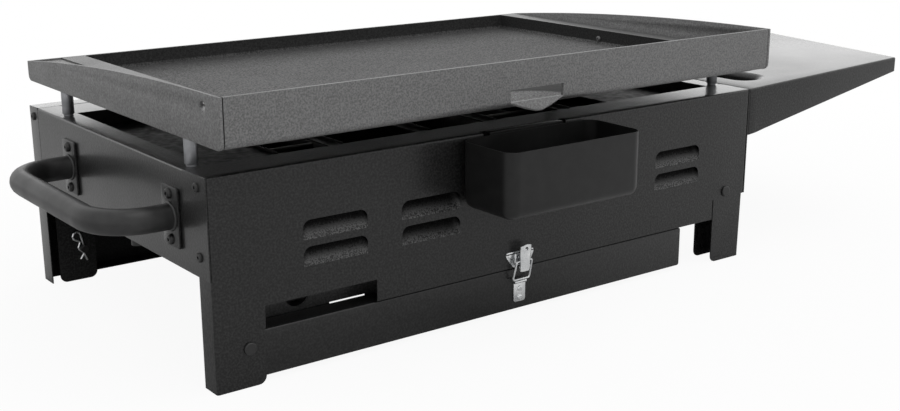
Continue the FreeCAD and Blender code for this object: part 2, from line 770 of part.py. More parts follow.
def r_clip(pin, inside):
    # spring wire: one straight leg through the pin, a round loop at the top and a waved leg beside the pin
    x, z = pin
    y = inside - clip_gap
    loop = clip_loop
    top = z + clip_above
    bottom = z - clip_below
    straight = Part.LineSegment(FreeCAD.Vector(x, y, bottom), FreeCAD.Vector(x, y, top)).toShape()
    side = x + 2 * loop
    arc = Part.Arc(FreeCAD.Vector(x, y, top), FreeCAD.Vector(x + loop, y, top + loop),
                   FreeCAD.Vector(side, y, top)).toShape()
    hug = pin_radius + clip_wire + 0.3
    p1 = FreeCAD.Vector(side, y, top)
    p2 = FreeCAD.Vector(x + hug + 0.8, y, z + 5.0)
    p3 = FreeCAD.Vector(x + hug, y, z)
    p4 = FreeCAD.Vector(x + 3.4, y, z - 6.5)
    p5 = FreeCAD.Vector(x + 6.5, y, bottom + 1.0)
    curve = Part.BSplineCurve()
    curve.interpolate([p1, p2, p3, p4, p5], InitialTangent=FreeCAD.Vector(0, 0, -1),
                      FinalTangent=FreeCAD.Vector(0.35, 0, -1))
    path = Part.Wire([straight, arc, curve.toShape()])
    ring = Part.Wire([Part.makeCircle(clip_wire, FreeCAD.Vector(x, y, bottom), FreeCAD.Vector(0, 0, 1))])
    clip = path.makePipeShell([ring], True, False)
    clip.rotate(FreeCAD.Vector(x, y, z), FreeCAD.Vector(0, 1, 0), clip_lean)
    return clip


def latch_base():
    x0, x1 = latch_x - latch_base_width / 2, latch_x + latch_base_width / 2
    foot = latch_base_foot / 2
    shoulder = latch_base_top - latch_base_side
    plate = prism([(x0, outer_rear, latch_base_top), (x1, outer_rear, latch_base_top),
                   (x1, outer_rear, shoulder), (latch_x + foot, outer_rear, latch_base_bottom),
                   (latch_x - foot, outer_rear, latch_base_bottom), (x0, outer_rear, shoulder)],
                  (0, latch_sheet, 0))
    parts = [round_edges(plate, 2.4, along_y)]
    pin_y = outer_rear + latch_pivot_out
    reach = latch_ear_inside + latch_sheet
    for side in (1, -1):
        x_lo, x_hi = sorted((latch_x + side * latch_ear_inside, latch_x + side * reach))
        ear = prism([(x_lo, outer_rear, latch_base_bottom), (x_lo, outer_rear, latch_base_bottom + 8.0),
                     (x_lo, pin_y + latch_ear_round * 0.7, latch_pivot_z + latch_ear_round * 0.7),
                     (x_lo, pin_y - latch_ear_round * 0.7, latch_pivot_z - latch_ear_round * 0.7)],
                    (latch_sheet, 0, 0))
        parts.append(ear)
        parts.append(rod(latch_ear_round, (x_lo, pin_y, latch_pivot_z), (x_hi, pin_y, latch_pivot_z)))
        rivet_x = latch_x + side * (latch_base_width / 2 - 4.9)
        rivet_z = latch_base_top - 4.1
        parts.append(rod(latch_rivet_radius, (rivet_x, outer_rear, rivet_z),
                         (rivet_x, outer_rear + latch_sheet + 1.1, rivet_z)))
    parts.append(rod(latch_pin_radius, (latch_x - reach - 0.5, pin_y, latch_pivot_z),
                     (latch_x + reach + 0.5, pin_y, latch_pivot_z)))
    return fuse(*parts)


def latch_lever():
    half = lever_width / 2
    face_y = outer_rear + lever_face_out
    face = box(latch_x - half, latch_x + half, face_y, face_y + latch_sheet, lever_bottom, lever_top)
    parts = [round_edges(face, 3.0, along_y)]
    pin_y = outer_rear + latch_pivot_out
    hook_y = outer_rear + bail_out
    cheek_out = latch_ear_inside - 0.3
    for side in (1, -1):
        xa = latch_x + side * cheek_out
        x_lo, x_hi = sorted((xa, xa - side * latch_sheet))
        parts.append(prism([(x_lo, pin_y - 2.6, latch_pivot_z - 1.6), (x_lo, pin_y, latch_pivot_z - 2.8),
                            (x_lo, face_y + 0.5, lever_bottom + 1.2), (x_lo, face_y + 0.5, bail_hook_z + 7.0),
                            (x_lo, hook_y - 1.6, bail_hook_z + 3.0), (x_lo, hook_y - 2.8, bail_hook_z),
                            (x_lo, pin_y - 2.6, latch_pivot_z + 2.0)], (latch_sheet, 0, 0)))
    shape = fuse(*parts)
    shape = shape.cut(rod(latch_pin_radius + run_clear, (latch_x - 20, pin_y, latch_pivot_z),
                          (latch_x + 20, pin_y, latch_pivot_z)))
    shape = shape.cut(rod(bail_wire + run_clear, (latch_x - 20, hook_y, bail_hook_z),
                          (latch_x + 20, hook_y, bail_hook_z)))
    return shape.cut(rod(lever_hole_radius, (latch_x, face_y - 1, lever_top - 4.5),
                         (latch_x, face_y + 3, lever_top - 4.5)))


def latch_bail():
    y = outer_rear + bail_out
    bar_y = outer_rear + bail_bar_out
    r = bail_wire
    left, right = latch_x - bail_half, latch_x + bail_half
    parts = [rod(r, (left, y, bail_hook_z), (right, y, bail_hook_z)),
             rod(r, (left, bar_y, bail_bar_z), (right, bar_y, bail_bar_z))]
    for x in (left, right):
        parts.append(rod(r, (x, bar_y, bail_bar_z), (x, y, bail_hook_z)))
        parts.append(Part.makeSphere(r, FreeCAD.Vector(x, bar_y, bail_bar_z)))
        parts.append(Part.makeSphere(r, FreeCAD.Vector(x, y, bail_hook_z)))
    return fuse(*parts)


def latch_keeper():
    half = keeper_width / 2
    y = low_rail_outer
    plate = box(latch_x - half, latch_x + half, y, y + latch_sheet, keeper_bottom, keeper_top)
    plate = round_edges(plate, 3.0, lambda e: along_y(e) and abs(e.Vertexes[0].Z - keeper_bottom) < 1e-6)
    lip = rod(keeper_lip / 2, (latch_x - half, y + keeper_lip / 2, keeper_top - keeper_lip / 2),
              (latch_x + half, y + keeper_lip / 2, keeper_top - keeper_lip / 2))
    parts = [plate, lip]
    for z in (29.5, 19.4):
        head = rod(3.1, (latch_x, y + latch_sheet, z), (latch_x, y + latch_sheet + 1.5, z))
        parts.append(head)
    return fuse(*parts)


def shield(x0, x1):
    # end shield: its top is one arc, level at the rear wall and falling to the front wall's height
    fall = plate_rear_top - plate_front_top
    low_front = FreeCAD.Vector(x0, plate_front, plate_bottom)
    high_front = FreeCAD.Vector(x0, plate_front, plate_front_top)
    middle = FreeCAD.Vector(x0, (plate_front + plate_rear) / 2, plate_rear_top - fall / 4)
    high_rear = FreeCAD.Vector(x0, plate_rear, plate_rear_top)
    low_rear = FreeCAD.Vector(x0, plate_rear, plate_bottom)
    edges = [Part.LineSegment(low_front, high_front).toShape(),
             Part.Arc(high_front, middle, high_rear).toShape(),
             Part.LineSegment(high_rear, low_rear).toShape(),
             Part.LineSegment(low_rear, low_front).toShape()]
    return Part.Face(Part.Wire(edges)).extrude(FreeCAD.Vector(x1 - x0, 0, 0))


def griddle_plate():
    t = plate_thick
    well_x0 = -plate_half + ledge_shelf_end
    well_x1 = plate_half - ledge_handle_end
    shell = box(-plate_half, plate_half, plate_front, plate_rear, plate_bottom, plate_rear_top)
    shell = round_edges(shell, plate_bend, lambda e: abs(e.BoundBox.ZMax - plate_bottom) < 1e-6
                        and e.BoundBox.XLength > 1.0)
    well = box(well_x0, well_x1, plate_front + t, plate_rear - t, plate_floor, plate_rear_top + 1)
    well = round_edges(well, plate_bend - t, lambda e: abs(e.BoundBox.ZMax - plate_floor) < 1e-6)
    shape = shell.cut(well)
    # nothing stands above the front wall and the ledges but the rear wall and the end shields
    shape = shape.cut(box(-plate_half - 1, plate_half + 1, plate_front - 1, plate_rear - t,
                          plate_front_top, plate_rear_top + 1))
    shape = shape.cut(box(plate_half - outer_ledge, plate_half - t, plate_front + t, plate_rear - t,
                          plate_front_top - outer_ledge_drop, plate_front_top + 1))
    # under each ledge the folded sheet is open from below
    for x0, x1 in ((-plate_half + t, well_x0 - t), (well_x1 + t, plate_half - t)):
        shape = shape.cut(box(x0, x1, plate_front + t, plate_rear - t, plate_bottom - 1, ledge_under))
    for x0 in (-plate_half, plate_half - t):
        wall = shield(x0, x0 + t)
        shape = shape.fuse(wall.cut(box(x0 - 1, x0 + t + 1, plate_front - 1, plate_rear + 1,
                                        plate_bottom - 1, plate_front_top - 0.5)))
    # grease slot through the rear wall and the folded spout below it
    slot_low = plate_floor + grease_slot_bottom
    half = grease_slot_width / 2
    shape = shape.cut(box(-half, half, plate_rear - t - 1, plate_rear + 1,
                          slot_low, slot_low + grease_slot_height))
    lip_top = slot_low + spout_sheet
    lip = box(-half, half, plate_rear - t, plate_rear + 0.2, slot_low, lip_top)
    outline = [(half, 0), (spout_shoulder, 0.63), (spout_nose, 1),
               (-spout_nose, 1), (-spout_shoulder, 0.63), (-half, 0)]
    apron = [(x, plate_rear + spout_reach * part, lip_top - spout_drop * part) for x, part in outline]
    length = math.hypot(spout_reach, spout_drop)
    inwards = (0, -spout_sheet * spout_drop / length, -spout_sheet * spout_reach / length)
    shape = shape.fuse([lip, prism(apron, inwards)])
    # holes for a hood's pivots, one in each end shield
    for sx in (1, -1):
        y = plate_rear - hood_hole_back
        z = plate_rear_top - hood_hole_drop
        shape = shape.cut(rod(hood_hole_radius, (sx * (plate_half - t - 1), y, z),
                              (sx * (plate_half + 1), y, z)))
    return shape.removeSplitter()


def griddle_post(sx, y):
    x = sx * post_x
    shape = rod(post_radius, (x, y, rim_top + seat), (x, y, plate_bottom))
    shape = round_edges(shape, 0.8, lambda e: e.BoundBox.ZLength < 1e-3
                        and abs(e.BoundBox.ZMin - rim_top - seat) < 1e-3)
    stud = rod(stud_radius, (x, y, rim_top + seat - stud_length), (x, y, rim_top + seat + 0.5))
    spigot = rod(post_spigot, (x, y, plate_bottom - 0.5), (x, y, ledge_under))
    return fuse(shape, stud, spigot)


def stop_bolt():
    # small bolt in the shelf-end wall of the cooking well
    x = -plate_half + ledge_shelf_end
    z = plate_floor + stop_bolt_up
    return rod(stop_bolt_radius, (x, stop_bolt_y, z), (x + 2.6, stop_bolt_y, z))


def grease_cup():
    x0, x1 = cup_centre - cup_width / 2, cup_centre + cup_width / 2
    z0 = cup_top - cup_height

    def solid(less, top):
        block = box(x0 + less, x1 - less, cup_back + less, cup_front - less, z0 + less, top)
        block = round_edges(block, cup_corner - less, along_z)
        low = z0 + less
        return round_edges(block, cup_bottom_radius - less, lambda e: abs(e.BoundBox.ZMax - low) < 1e-4)
    cup = solid(0, cup_top).cut(solid(cup_wall, cup_top + 1))
    h0, h1 = hook_centre - hook_width / 2, hook_centre + hook_width / 2
    under = notch_bottom + seat
    tongue_end = outer_rear - notch_reach + 0.8
    tongue = box(h0, h1, tongue_end, cup_back + cup_wall, under, under + sheet)
    down = box(h0, h1, tongue_end, tongue_end + sheet, under + sheet - hook_drop, under + sheet)
    return fuse(cup, tongue, down)


def shelf_height(x):
    # height of the shelf top at a distance out from the body's end
    out = -half_length - clear - x
    return rim_top + shelf_rise * out / shelf_rear_length


def shelf():
    x_in = -half_length - clear
    x_rear = x_in - shelf_rear_length
    x_front = x_in - shelf_front_length
    x_tip = x_in - shelf_tip_length
    y_rear, y_front = half_depth, -half_depth
    top = [(x_in, y_rear, shelf_height(x_in)), (x_rear, y_rear, shelf_height(x_rear)),
           (x_tip, shelf_tip_y, shelf_height(x_tip)),
           (x_front, y_front, shelf_height(x_front)), (x_in, y_front, shelf_height(x_in))]
    shape = prism(top, (0, 0, -sheet))
    for y, x_out, thick in ((y_rear, x_rear, -sheet), (y_front, x_front, sheet)):
        ratio = (shelf_skirt_body - shelf_skirt_outer)
        skirt = [(x_in, y, shelf_height(x_in)), (x_out, y, shelf_height(x_out)),
                 (x_out, y, shelf_height(x_out) - shelf_skirt_outer),
                 (x_in - 30.0, y, rim_top - shelf_skirt_body + ratio * 0.12),
                 (x_in - 14.0, y, rim_top - shelf_skirt_body + 1.5),
                 (x_in, y, rim_top - shelf_skirt_body)]
        shape = shape.fuse(prism(skirt, (0, thick, 0)))
    # lips along the slanted outer edge and along the cut corner
    within = box(x_tip - 1, x_in, y_front, y_rear, 0, 2 * rim_top)
    for xa, ya, xb, yb in ((x_rear, y_rear, x_tip, shelf_tip_y), (x_tip, shelf_tip_y, x_front, y_front)):
        dx, dy = xb - xa, yb - ya
        length = math.hypot(dx, dy)
        lip = [(xa, ya, shelf_height(xa)), (xb, yb, shelf_height(xb)),
               (xb, yb, shelf_height(xb) - shelf_skirt_outer), (xa, ya, shelf_height(xa) - shelf_skirt_outer)]
        inwards = (-dy / length * sheet, dx / length * sheet, 0)
        shape = shape.fuse(prism(lip, inwards).common(within))
    # flange against the end panel, with keyholes over the studs
    flange = box(x_in - sheet, x_in, y_front, y_rear, rim_top - shelf_flange_height, rim_top - 0.2)
    for y in (-shelf_stud_y, shelf_stud_y):
        for z in shelf_stud_rows:
            w = shelf_stud_neck + 0.4
            flange = flange.cut(rod(w, (x_in - 3, y, z), (x_in + 3, y, z)))
            flange = flange.cut(box(x_in - 3, x_in + 3, y - w, y + w, z - shelf_lift, z))
            flange = flange.cut(rod(shelf_stud_head + 0.6, (x_in - 3, y, z - shelf_lift),
                                    (x_in + 3, y, z - shelf_lift)))
    shape = shape.fuse(flange)
    # grip slot
    gx1 = x_in - grip_slot_inner
    gx0 = gx1 - grip_slot_width
    gy1 = y_rear - grip_slot_rear
    gy0 = gy1 - grip_slot_length
    r = grip_slot_width / 2
    cx = (gx0 + gx1) / 2

    def slot(grow):
        parts = [box(gx0 - grow, gx1 + grow, gy0 + r, gy1 - r, rim_top - 20, rim_top + 20)]
        for y in (gy0 + r, gy1 - r):
            parts.append(rod(r + grow, (cx, y, rim_top - 20), (cx, y, rim_top + 20)))
        return fuse(*parts)
    under = prism(top, (0, 0, -grip_slot_lip)).common(slot(sheet))
    return fuse(shape, under).cut(slot(0)).removeSplitter()


def shelf_stud(y, z):
    x = -half_length
    neck = rod(shelf_stud_neck, (x, y, z), (x - clear - sheet - 0.4, y, z))
    head = rod(shelf_stud_head, (x - clear - sheet - 0.4, y, z), (x - clear - sheet - 2.4, y, z))
    return fuse(neck, head)


def both_sides(shape):
    return Part.makeCompound([shape, mirror_y(shape)])


def group(shapes):
    return Part.makeCompound(list(shapes))


handle_bolts = [handle_bolt(y, handle_height + side * handle_bolt_pitch / 2)
                for y in handle_ys for side in (1, -1)]
body_screws = []
for sx, y, z in ((1, corner_screw_y, corner_screw_rows[0]), (1, corner_screw_y, corner_screw_rows[1]),
                 (1, front_screw[0], front_screw[1]), (-1, corner_screw_y, corner_screw_rows[1]),
                 (-1, front_screw[0], corner_screw_rows[1])):
    body_screws.append(side_screw(sx, y, z))

nodes = {
    "rear_panel": rear_panel(),
    "front_panel": front_panel(),
    "handle_end_panel": end_panel(1, end_bottom_handle),
    "shelf_end_panel": end_panel(-1, end_bottom_shelf),
    "rear_inner_wall": inner_wall(True),
    "front_inner_wall": inner_wall(False),
    "firebox": firebox(),
    "heat_spreader": heat_spreader(),
    "handle_end_burner": burner(burner_xs[0]),
    "shelf_end_burner": burner(burner_xs[1]),
    "gas_manifold": gas_manifold(),
    "gas_valves": group([valve(x) for x in burner_xs]),
    "valve_collars": group([valve_neck(x) for x in burner_xs]),
    "handle_end_valve_stem": valve_stem(burner_xs[0]),
    "shelf_end_valve_stem": valve_stem(burner_xs[1]),
    "handle_end_knob": knob(burner_xs[0]),
    "shelf_end_knob": knob(burner_xs[1]),
    "gas_supply_pipe": supply_pipe(),
    "gas_inlet_fitting": inlet_fitting(),
    "igniter_housing": igniter_housing(),
    "igniter_button": igniter_button(),
    "spark_electrodes": group([electrode(x) for x in burner_xs]),
    "carry_handle": handle_tube(),
    "handle_plates": group([handle_plate(y) for y in handle_ys]),
    "handle_bolts": group(handle_bolts),
    "body_screws": group(body_screws),
    "low_leg_frame": low_leg_frame(),
    "high_leg_frame": high_leg_frame(),
    "low_pivot_pins": both_sides(pivot_pin(low_pin, inner_face)),
    "high_pivot_pins": both_sides(pivot_pin(high_pin, high_rail_inner)),
    "low_r_clips": both_sides(r_clip(low_pin, inner_face)),
    "high_r_clips": both_sides(r_clip(high_pin, high_rail_inner)),
    "latch_base": latch_base(),
    "latch_lever": latch_lever(),
    "latch_bail": latch_bail(),
    "latch_keeper": latch_keeper(),
    "griddle_plate": griddle_plate(),
    "griddle_posts": group([griddle_post(sx, y) for sx in (1, -1) for y in (post_front_y, post_rear_y)]),
    "well_stop_bolt": stop_bolt(),
    "grease_cup": grease_cup(),
    "side_shelf": shelf(),
    "shelf_studs": group([shelf_stud(y, z) for y in (-shelf_stud_y, shelf_stud_y) for z in shelf_stud_rows]),
}

# Footprint of the whole station, to put the origin at its middle on the ground
reach_handle = half_length + handle_reach
reach_shelf = -half_length - clear - shelf_tip_length
reach_rear = cup_front
reach_front = -half_depth - knob_gap - knob_height
shift = FreeCAD.Vector(-(reach_handle + reach_shelf) / 2, -(reach_rear + reach_front) / 2, 0)

os.makedirs("parts", exist_ok=True)
for name, shape in nodes.items():
    shape.translate(shift)
    if not shape.isValid():
        print("invalid shape:", name)
    shape.exportStep("parts/" + name + ".step")
print("pieces:", len(nodes), "shift:", tuple(round(v, 3) for v in shift))
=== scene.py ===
import math

import bmesh
import bpy
from mathutils import Matrix, Quaternion, Vector


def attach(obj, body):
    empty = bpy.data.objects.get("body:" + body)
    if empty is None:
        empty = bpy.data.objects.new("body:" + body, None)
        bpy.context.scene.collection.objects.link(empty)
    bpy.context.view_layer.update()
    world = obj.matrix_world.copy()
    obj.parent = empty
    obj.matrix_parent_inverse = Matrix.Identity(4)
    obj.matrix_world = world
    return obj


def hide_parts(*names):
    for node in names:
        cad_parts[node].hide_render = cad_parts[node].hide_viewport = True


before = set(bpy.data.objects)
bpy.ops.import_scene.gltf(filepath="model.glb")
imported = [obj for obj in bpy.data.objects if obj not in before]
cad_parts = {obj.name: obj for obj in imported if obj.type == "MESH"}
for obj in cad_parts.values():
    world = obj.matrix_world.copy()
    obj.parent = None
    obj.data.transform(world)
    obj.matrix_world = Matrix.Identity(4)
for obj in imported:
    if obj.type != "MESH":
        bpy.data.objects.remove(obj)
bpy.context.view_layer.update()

# Rear panel: the side with the louvres. One 1.2 mm steel blank with two feet, its louvres pressed
# inwards, the top flange and the leg wings folded, then coated with fine-textured black powder.
# Pieces are shaped in millimetres about the middle of the body and put in place by seat().


def linear(hex_code):
    channels = [int(hex_code[i:i + 2], 16) / 255 for i in (1, 3, 5)]
    return [c / 12.92 if c <= 0.04045 else ((c + 0.055) / 1.055) ** 2.4 for c in channels] + [1.0]


def add_node(material, kind, settings=(), links=()):
    node = material.node_tree.nodes.new(kind)
    for name, value in dict(settings).items():
        if isinstance(name, int) or name in node.inputs:
            node.inputs[name].default_value = value
        else:
            setattr(node, name, value)
    for name, source in dict(links).items():
        material.node_tree.links.new(source, node.inputs[name])
    return node


def new_finish(name, settings):
    material = bpy.data.materials.new(name)
    material.use_nodes = True
    shader = material.node_tree.nodes["Principled BSDF"]
    for socket, value in settings.items():
        shader.inputs[socket].default_value = value
    return material, shader


def grain(material, size_mm, detail=2.0):
    # cloudy noise whose lumps are size_mm wide
    where = add_node(material, "ShaderNodeTexCoord")
    return add_node(material, "ShaderNodeTexNoise", {"Scale": 1000.0 / size_mm, "Detail": detail},
                    {"Vector": where.outputs["Object"]}).outputs["Fac"]


def blend_colours(material, shader, fac, low, dark, high, light):
    # dark below low, light above high
    ramp = add_node(material, "ShaderNodeValToRGB", {}, {"Fac": fac})
    ramp.color_ramp.elements[0].position = low
    ramp.color_ramp.elements[0].color = linear(dark)
    ramp.color_ramp.elements[1].position = high
    ramp.color_ramp.elements[1].color = linear(light)
    material.node_tree.links.new(ramp.outputs["Color"], shader.inputs["Base Color"])


def vary_roughness(material, shader, fac, least, most):
    spread = add_node(material, "ShaderNodeMapRange", {"From Min": 0.3, "From Max": 0.7, "To Min": least,
                                                       "To Max": most}, {"Value": fac})
    material.node_tree.links.new(spread.outputs["Result"], shader.inputs["Roughness"])


def raise_grain(material, shader, fac, height_mm, strength):
    bump = add_node(material, "ShaderNodeBump", {"Strength": strength, "Distance": height_mm / 1000},
                    {"Height": fac})
    material.node_tree.links.new(bump.outputs["Normal"], shader.inputs["Normal"])


def powder_coat(name, dark, light, grit, roughness):
    # Fine-textured polyester powder: almost black, an orange peel with small glints where light grazes.
    # The real texture is about 0.4 mm, too fine for the picture, so it is drawn at 2.2 mm.
    material, shader = new_finish(name, {"IOR": 1.5, "Specular IOR Level": 0.3, "Coat Weight": 1.0,
                                         "Coat Roughness": 0.2, "Coat IOR": 1.2})
    lumps = grain(material, 2.2)
    blend_colours(material, shader, lumps, 0.40, dark, 0.68, light)
    vary_roughness(material, shader, grain(material, 90.0), roughness - 0.04, roughness + 0.05)
    raise_grain(material, shader, lumps, 0.5, grit)
    return material


def shade_by(material, shader, amount):
    # the colour already linked to the shader, times an amount
    colour = shader.inputs["Base Color"].links[0].from_socket
    scaled = add_node(material, "ShaderNodeVectorMath", {"operation": "SCALE"}, {0: colour, "Scale": amount})
    material.node_tree.links.new(scaled.outputs["Vector"], shader.inputs["Base Color"])


def along(material, axis):
    where = add_node(material, "ShaderNodeTexCoord")
    return add_node(material, "ShaderNodeSeparateXYZ", {}, {0: where.outputs["Object"]}).outputs[axis]


textured_powder = powder_coat("fine textured black powder coat", "#040404", "#282828", 0.5, 0.42)

# the louvres, guessed from the photograph: painted shade, near black, along the top of each flap under the
# slit
# below it coarse specks, lighter than the panel's coat: painted light where the flap's slope faces up
louvre_powder, louvre_shader = new_finish("louvre powder coat with painted shade and light",
                                          {"IOR": 1.5, "Specular IOR Level": 0.3, "Roughness": 0.45})
specks = grain(louvre_powder, 1.5)
blend_colours(louvre_powder, louvre_shader, specks, 0.42, "#0b0b0b", 0.64, "#5c5c5c")
raise_grain(louvre_powder, louvre_shader, specks, 0.5, 0.5)
# in millimetres: from one row of louvres to the next, and the foot of the lower row
row_step, lowest_row = 26.0, 105.5
rows = add_node(louvre_powder, "ShaderNodeMath",
                {"operation": "MULTIPLY_ADD", 1: 1000 / row_step, 2: -lowest_row / row_step},
                {0: along(louvre_powder, "Z")})
up_flap = add_node(louvre_powder, "ShaderNodeMath", {"operation": "FRACT"}, {0: rows.outputs[0]})
ragged = add_node(louvre_powder, "ShaderNodeMath", {"operation": "MULTIPLY_ADD", 1: 0.9},
                  {0: specks, 2: up_flap.outputs[0]})
# painted shade: the colour goes near black towards the top of each flap, where the slit's overhang shades it
shade_under_slit = add_node(louvre_powder, "ShaderNodeMapRange", {"From Min": 0.66, "From Max": 0.92, "To Min": 1.0,
                                                      "To Max": 0.1}, {"Value": ragged.outputs[0]})
shade_by(louvre_powder, louvre_shader, shade_under_slit.outputs["Result"])
# the painted shade also takes the gloss away near the top of each flap
shaded_gloss = add_node(louvre_powder, "ShaderNodeMath", {"operation": "MULTIPLY", 1: 0.35},
                {0: shade_under_slit.outputs["Result"]})
louvre_powder.node_tree.links.new(shaded_gloss.outputs[0], louvre_shader.inputs["Specular IOR Level"])


def clear_selection():
    bpy.ops.object.select_all(action="DESELECT")


def settle():
    # the new primitive's place, turn and size go into its mesh
    bpy.ops.object.transform_apply(location=True, rotation=True, scale=True)
    return bpy.context.object


def block(x0, x1, y0, y1, z0, z1):
    clear_selection()
    bpy.ops.mesh.primitive_cube_add(size=1, location=((x0 + x1) / 2, (y0 + y1) / 2, (z0 + z1) / 2),
                                    scale=(abs(x1 - x0), abs(y1 - y0), abs(z1 - z0)))
    return settle()


def rod(radius, start, end, sides=48):
    start, end = Vector(start), Vector(end)
    clear_selection()
    bpy.ops.mesh.primitive_cylinder_add(vertices=sides, radius=radius, depth=(end - start).length,
                                        location=(start + end) / 2,
                                        rotation=(end - start).to_track_quat("Z", "Y").to_euler())
    return settle()


def hold(piece):
    clear_selection()
    piece.select_set(True)
    bpy.context.view_layer.objects.active = piece


def work_on(piece):
    hold(piece)
    bpy.ops.object.mode_set(mode="EDIT")
    bpy.ops.mesh.select_all(action="SELECT")


def leave_work():
    bpy.ops.object.mode_set(mode="OBJECT")


def pick(kind, test):
    # selects the vertices, edges or faces of the piece in work whose middle and self pass the test
    mesh = bmesh.from_edit_mesh(bpy.context.object.data)
    bpy.ops.mesh.select_mode(type=kind)
    bpy.ops.mesh.select_all(action="DESELECT")
    found = 0
    for item in {"VERT": mesh.verts, "EDGE": mesh.edges, "FACE": mesh.faces}[kind]:
        if kind == "VERT":
            middle = item.co
        elif kind == "EDGE":
            middle = (item.verts[0].co + item.verts[1].co) / 2
        else:
            middle = item.calc_center_median()
        if test(middle, item):
            item.select_set(True)
            found += 1
    mesh.select_flush_mode()
    bmesh.update_edit_mesh(bpy.context.object.data)
    return found


def near(a, b, gap=0.05):
    return abs(a - b) < gap


def run(edge, axis):
    # how far an edge runs along x, y or z
    return abs(getattr(edge.verts[0].co, axis) - getattr(edge.verts[1].co, axis))


def extrude(x, y, z):
    bpy.ops.mesh.extrude_region_move(TRANSFORM_OT_translate={"value": (x, y, z)})


def split(place, normal):
    # a new line of edges right across the piece in work
    bpy.ops.mesh.select_all(action="SELECT")
    bpy.ops.mesh.bisect(plane_co=place, plane_no=normal)


def face_out():
    bpy.ops.mesh.select_all(action="SELECT")
    bpy.ops.mesh.normals_make_consistent(inside=False)


def bend(radius, test, segments=4):
    if pick("EDGE", test):
        bpy.ops.mesh.bevel(offset=radius, segments=segments, affect="EDGES")


def round_off(piece, radius, test, segments=4):
    work_on(piece)
    bend(radius, test, segments)
    leave_work()
    return piece


def move(test, x, y, z):
    # moves those vertices of the piece in work that pass the test
    pick("VERT", test)
    bpy.ops.transform.translate(value=(x, y, z))


def modify(piece, kind, **settings):
    hold(piece)
    modifier = piece.modifiers.new(kind, kind)
    for name, value in settings.items():
        setattr(modifier, name, value)
    bpy.ops.object.modifier_apply(modifier=modifier.name)
    return piece


def thicken(piece, thickness):
    return modify(piece, "SOLIDIFY", thickness=thickness, offset=-1.0, use_even_offset=True)


def cut_away(piece, *cutters):
    for cutter in cutters:
        modify(piece, "BOOLEAN", operation="DIFFERENCE", solver="EXACT", object=cutter)
        bpy.data.objects.remove(cutter)
    return piece


def soften(piece, width, segments=2, degrees=32.0):
    return modify(piece, "BEVEL", width=width, segments=segments, limit_method="ANGLE",
                  angle_limit=math.radians(degrees))


def merge(*pieces):
    clear_selection()
    for piece in pieces:
        piece.select_set(True)
    bpy.context.view_layer.objects.active = pieces[0]
    bpy.ops.object.join()
    return bpy.context.object


def copy_of(piece):
    twin = piece.copy()
    twin.data = piece.data.copy()
    bpy.context.collection.objects.link(twin)
    return twin


def shift(piece, x, y, z):
    piece.data.transform(Matrix.Translation((x, y, z)))
    return piece


def mirrored(piece, x=1, y=1):
    # a twin on the other side, its faces turned outwards again
    twin = copy_of(piece)
    twin.data.transform(Matrix.Diagonal((x, y, 1, 1)))
    twin.data.flip_normals()
    return twin


# the body's middle in the station's own frame, in millimetres
body_middle = (138.5, -29.2, 0.0)


def seat(piece, name, material, degrees=32.0):
    # from millimetres about the body's middle to metres in the station's own frame
    piece.data.transform(Matrix.Translation([v / 1000 for v in body_middle]) @ Matrix.Scale(0.001, 4))
    piece.name = name
    piece.data.name = name
    piece.data.materials.clear()
    piece.data.materials.append(material)
    hold(piece)
    bpy.ops.object.shade_smooth_by_angle(angle=math.radians(degrees))
    return piece


def in_body(face):
    # the middle of a seated piece's face, back in millimetres about the body's middle
    return face.center * 1000 - Vector(body_middle)


def blank(across, up, keep, y, outward_y):
    # a flat sheet standing at y, marked out along the given lines, its waste cut off
    clear_selection()
    bpy.ops.mesh.primitive_plane_add(size=1, location=((across[0] + across[-1]) / 2, y, (up[0] + up[-1]) / 2),
                                     rotation=(math.pi / 2, 0, 0))
    sheet = bpy.context.object
    sheet.scale = (across[-1] - across[0], up[-1] - up[0], 1)
    settle()
    work_on(sheet)
    for x in across[1:-1]:
        split((x, 0, 0), (1, 0, 0))
    for z in up[1:-1]:
        split((0, 0, z), (0, 0, 1))
    if pick("FACE", lambda at, face: not keep(at.x, at.z)):
        bpy.ops.mesh.delete(type="FACE")
    bpy.ops.mesh.select_all(action="SELECT")
    bpy.ops.mesh.dissolve_limited(angle_limit=math.radians(1))
    if outward_y > 0:
        bpy.ops.mesh.select_all(action="SELECT")
        bpy.ops.mesh.flip_normals()
    return sheet


rear_y, body_half = 216.0, 359.0
rim_z, flange_in = 206.0, 171.0
panel_sheet = 1.2
fold_radius = 2.2
foot_in, panel_end = 306.0, 357.8
handle_leg = (foot_in, panel_end)
shelf_leg = (-304.5, -353.5)
relief_end = -303.0
hose_window = (179.8, 304.8, 76.5)
cup_notch = (-64.5, 47.5, 199.0, 208.6)


def rear_outline(x, z):
    if x < shelf_leg[1]:
        return z > 79.0
    if z < 54.0:
        return x > handle_leg[0] or x < shelf_leg[0]
    if z < 78.0 and shelf_leg[0] < x < relief_end:
        return False
    if z < hose_window[2] and hose_window[0] < x < hose_window[1]:
        return False
    return not (z > cup_notch[2] and cup_notch[0] < x < cup_notch[1])


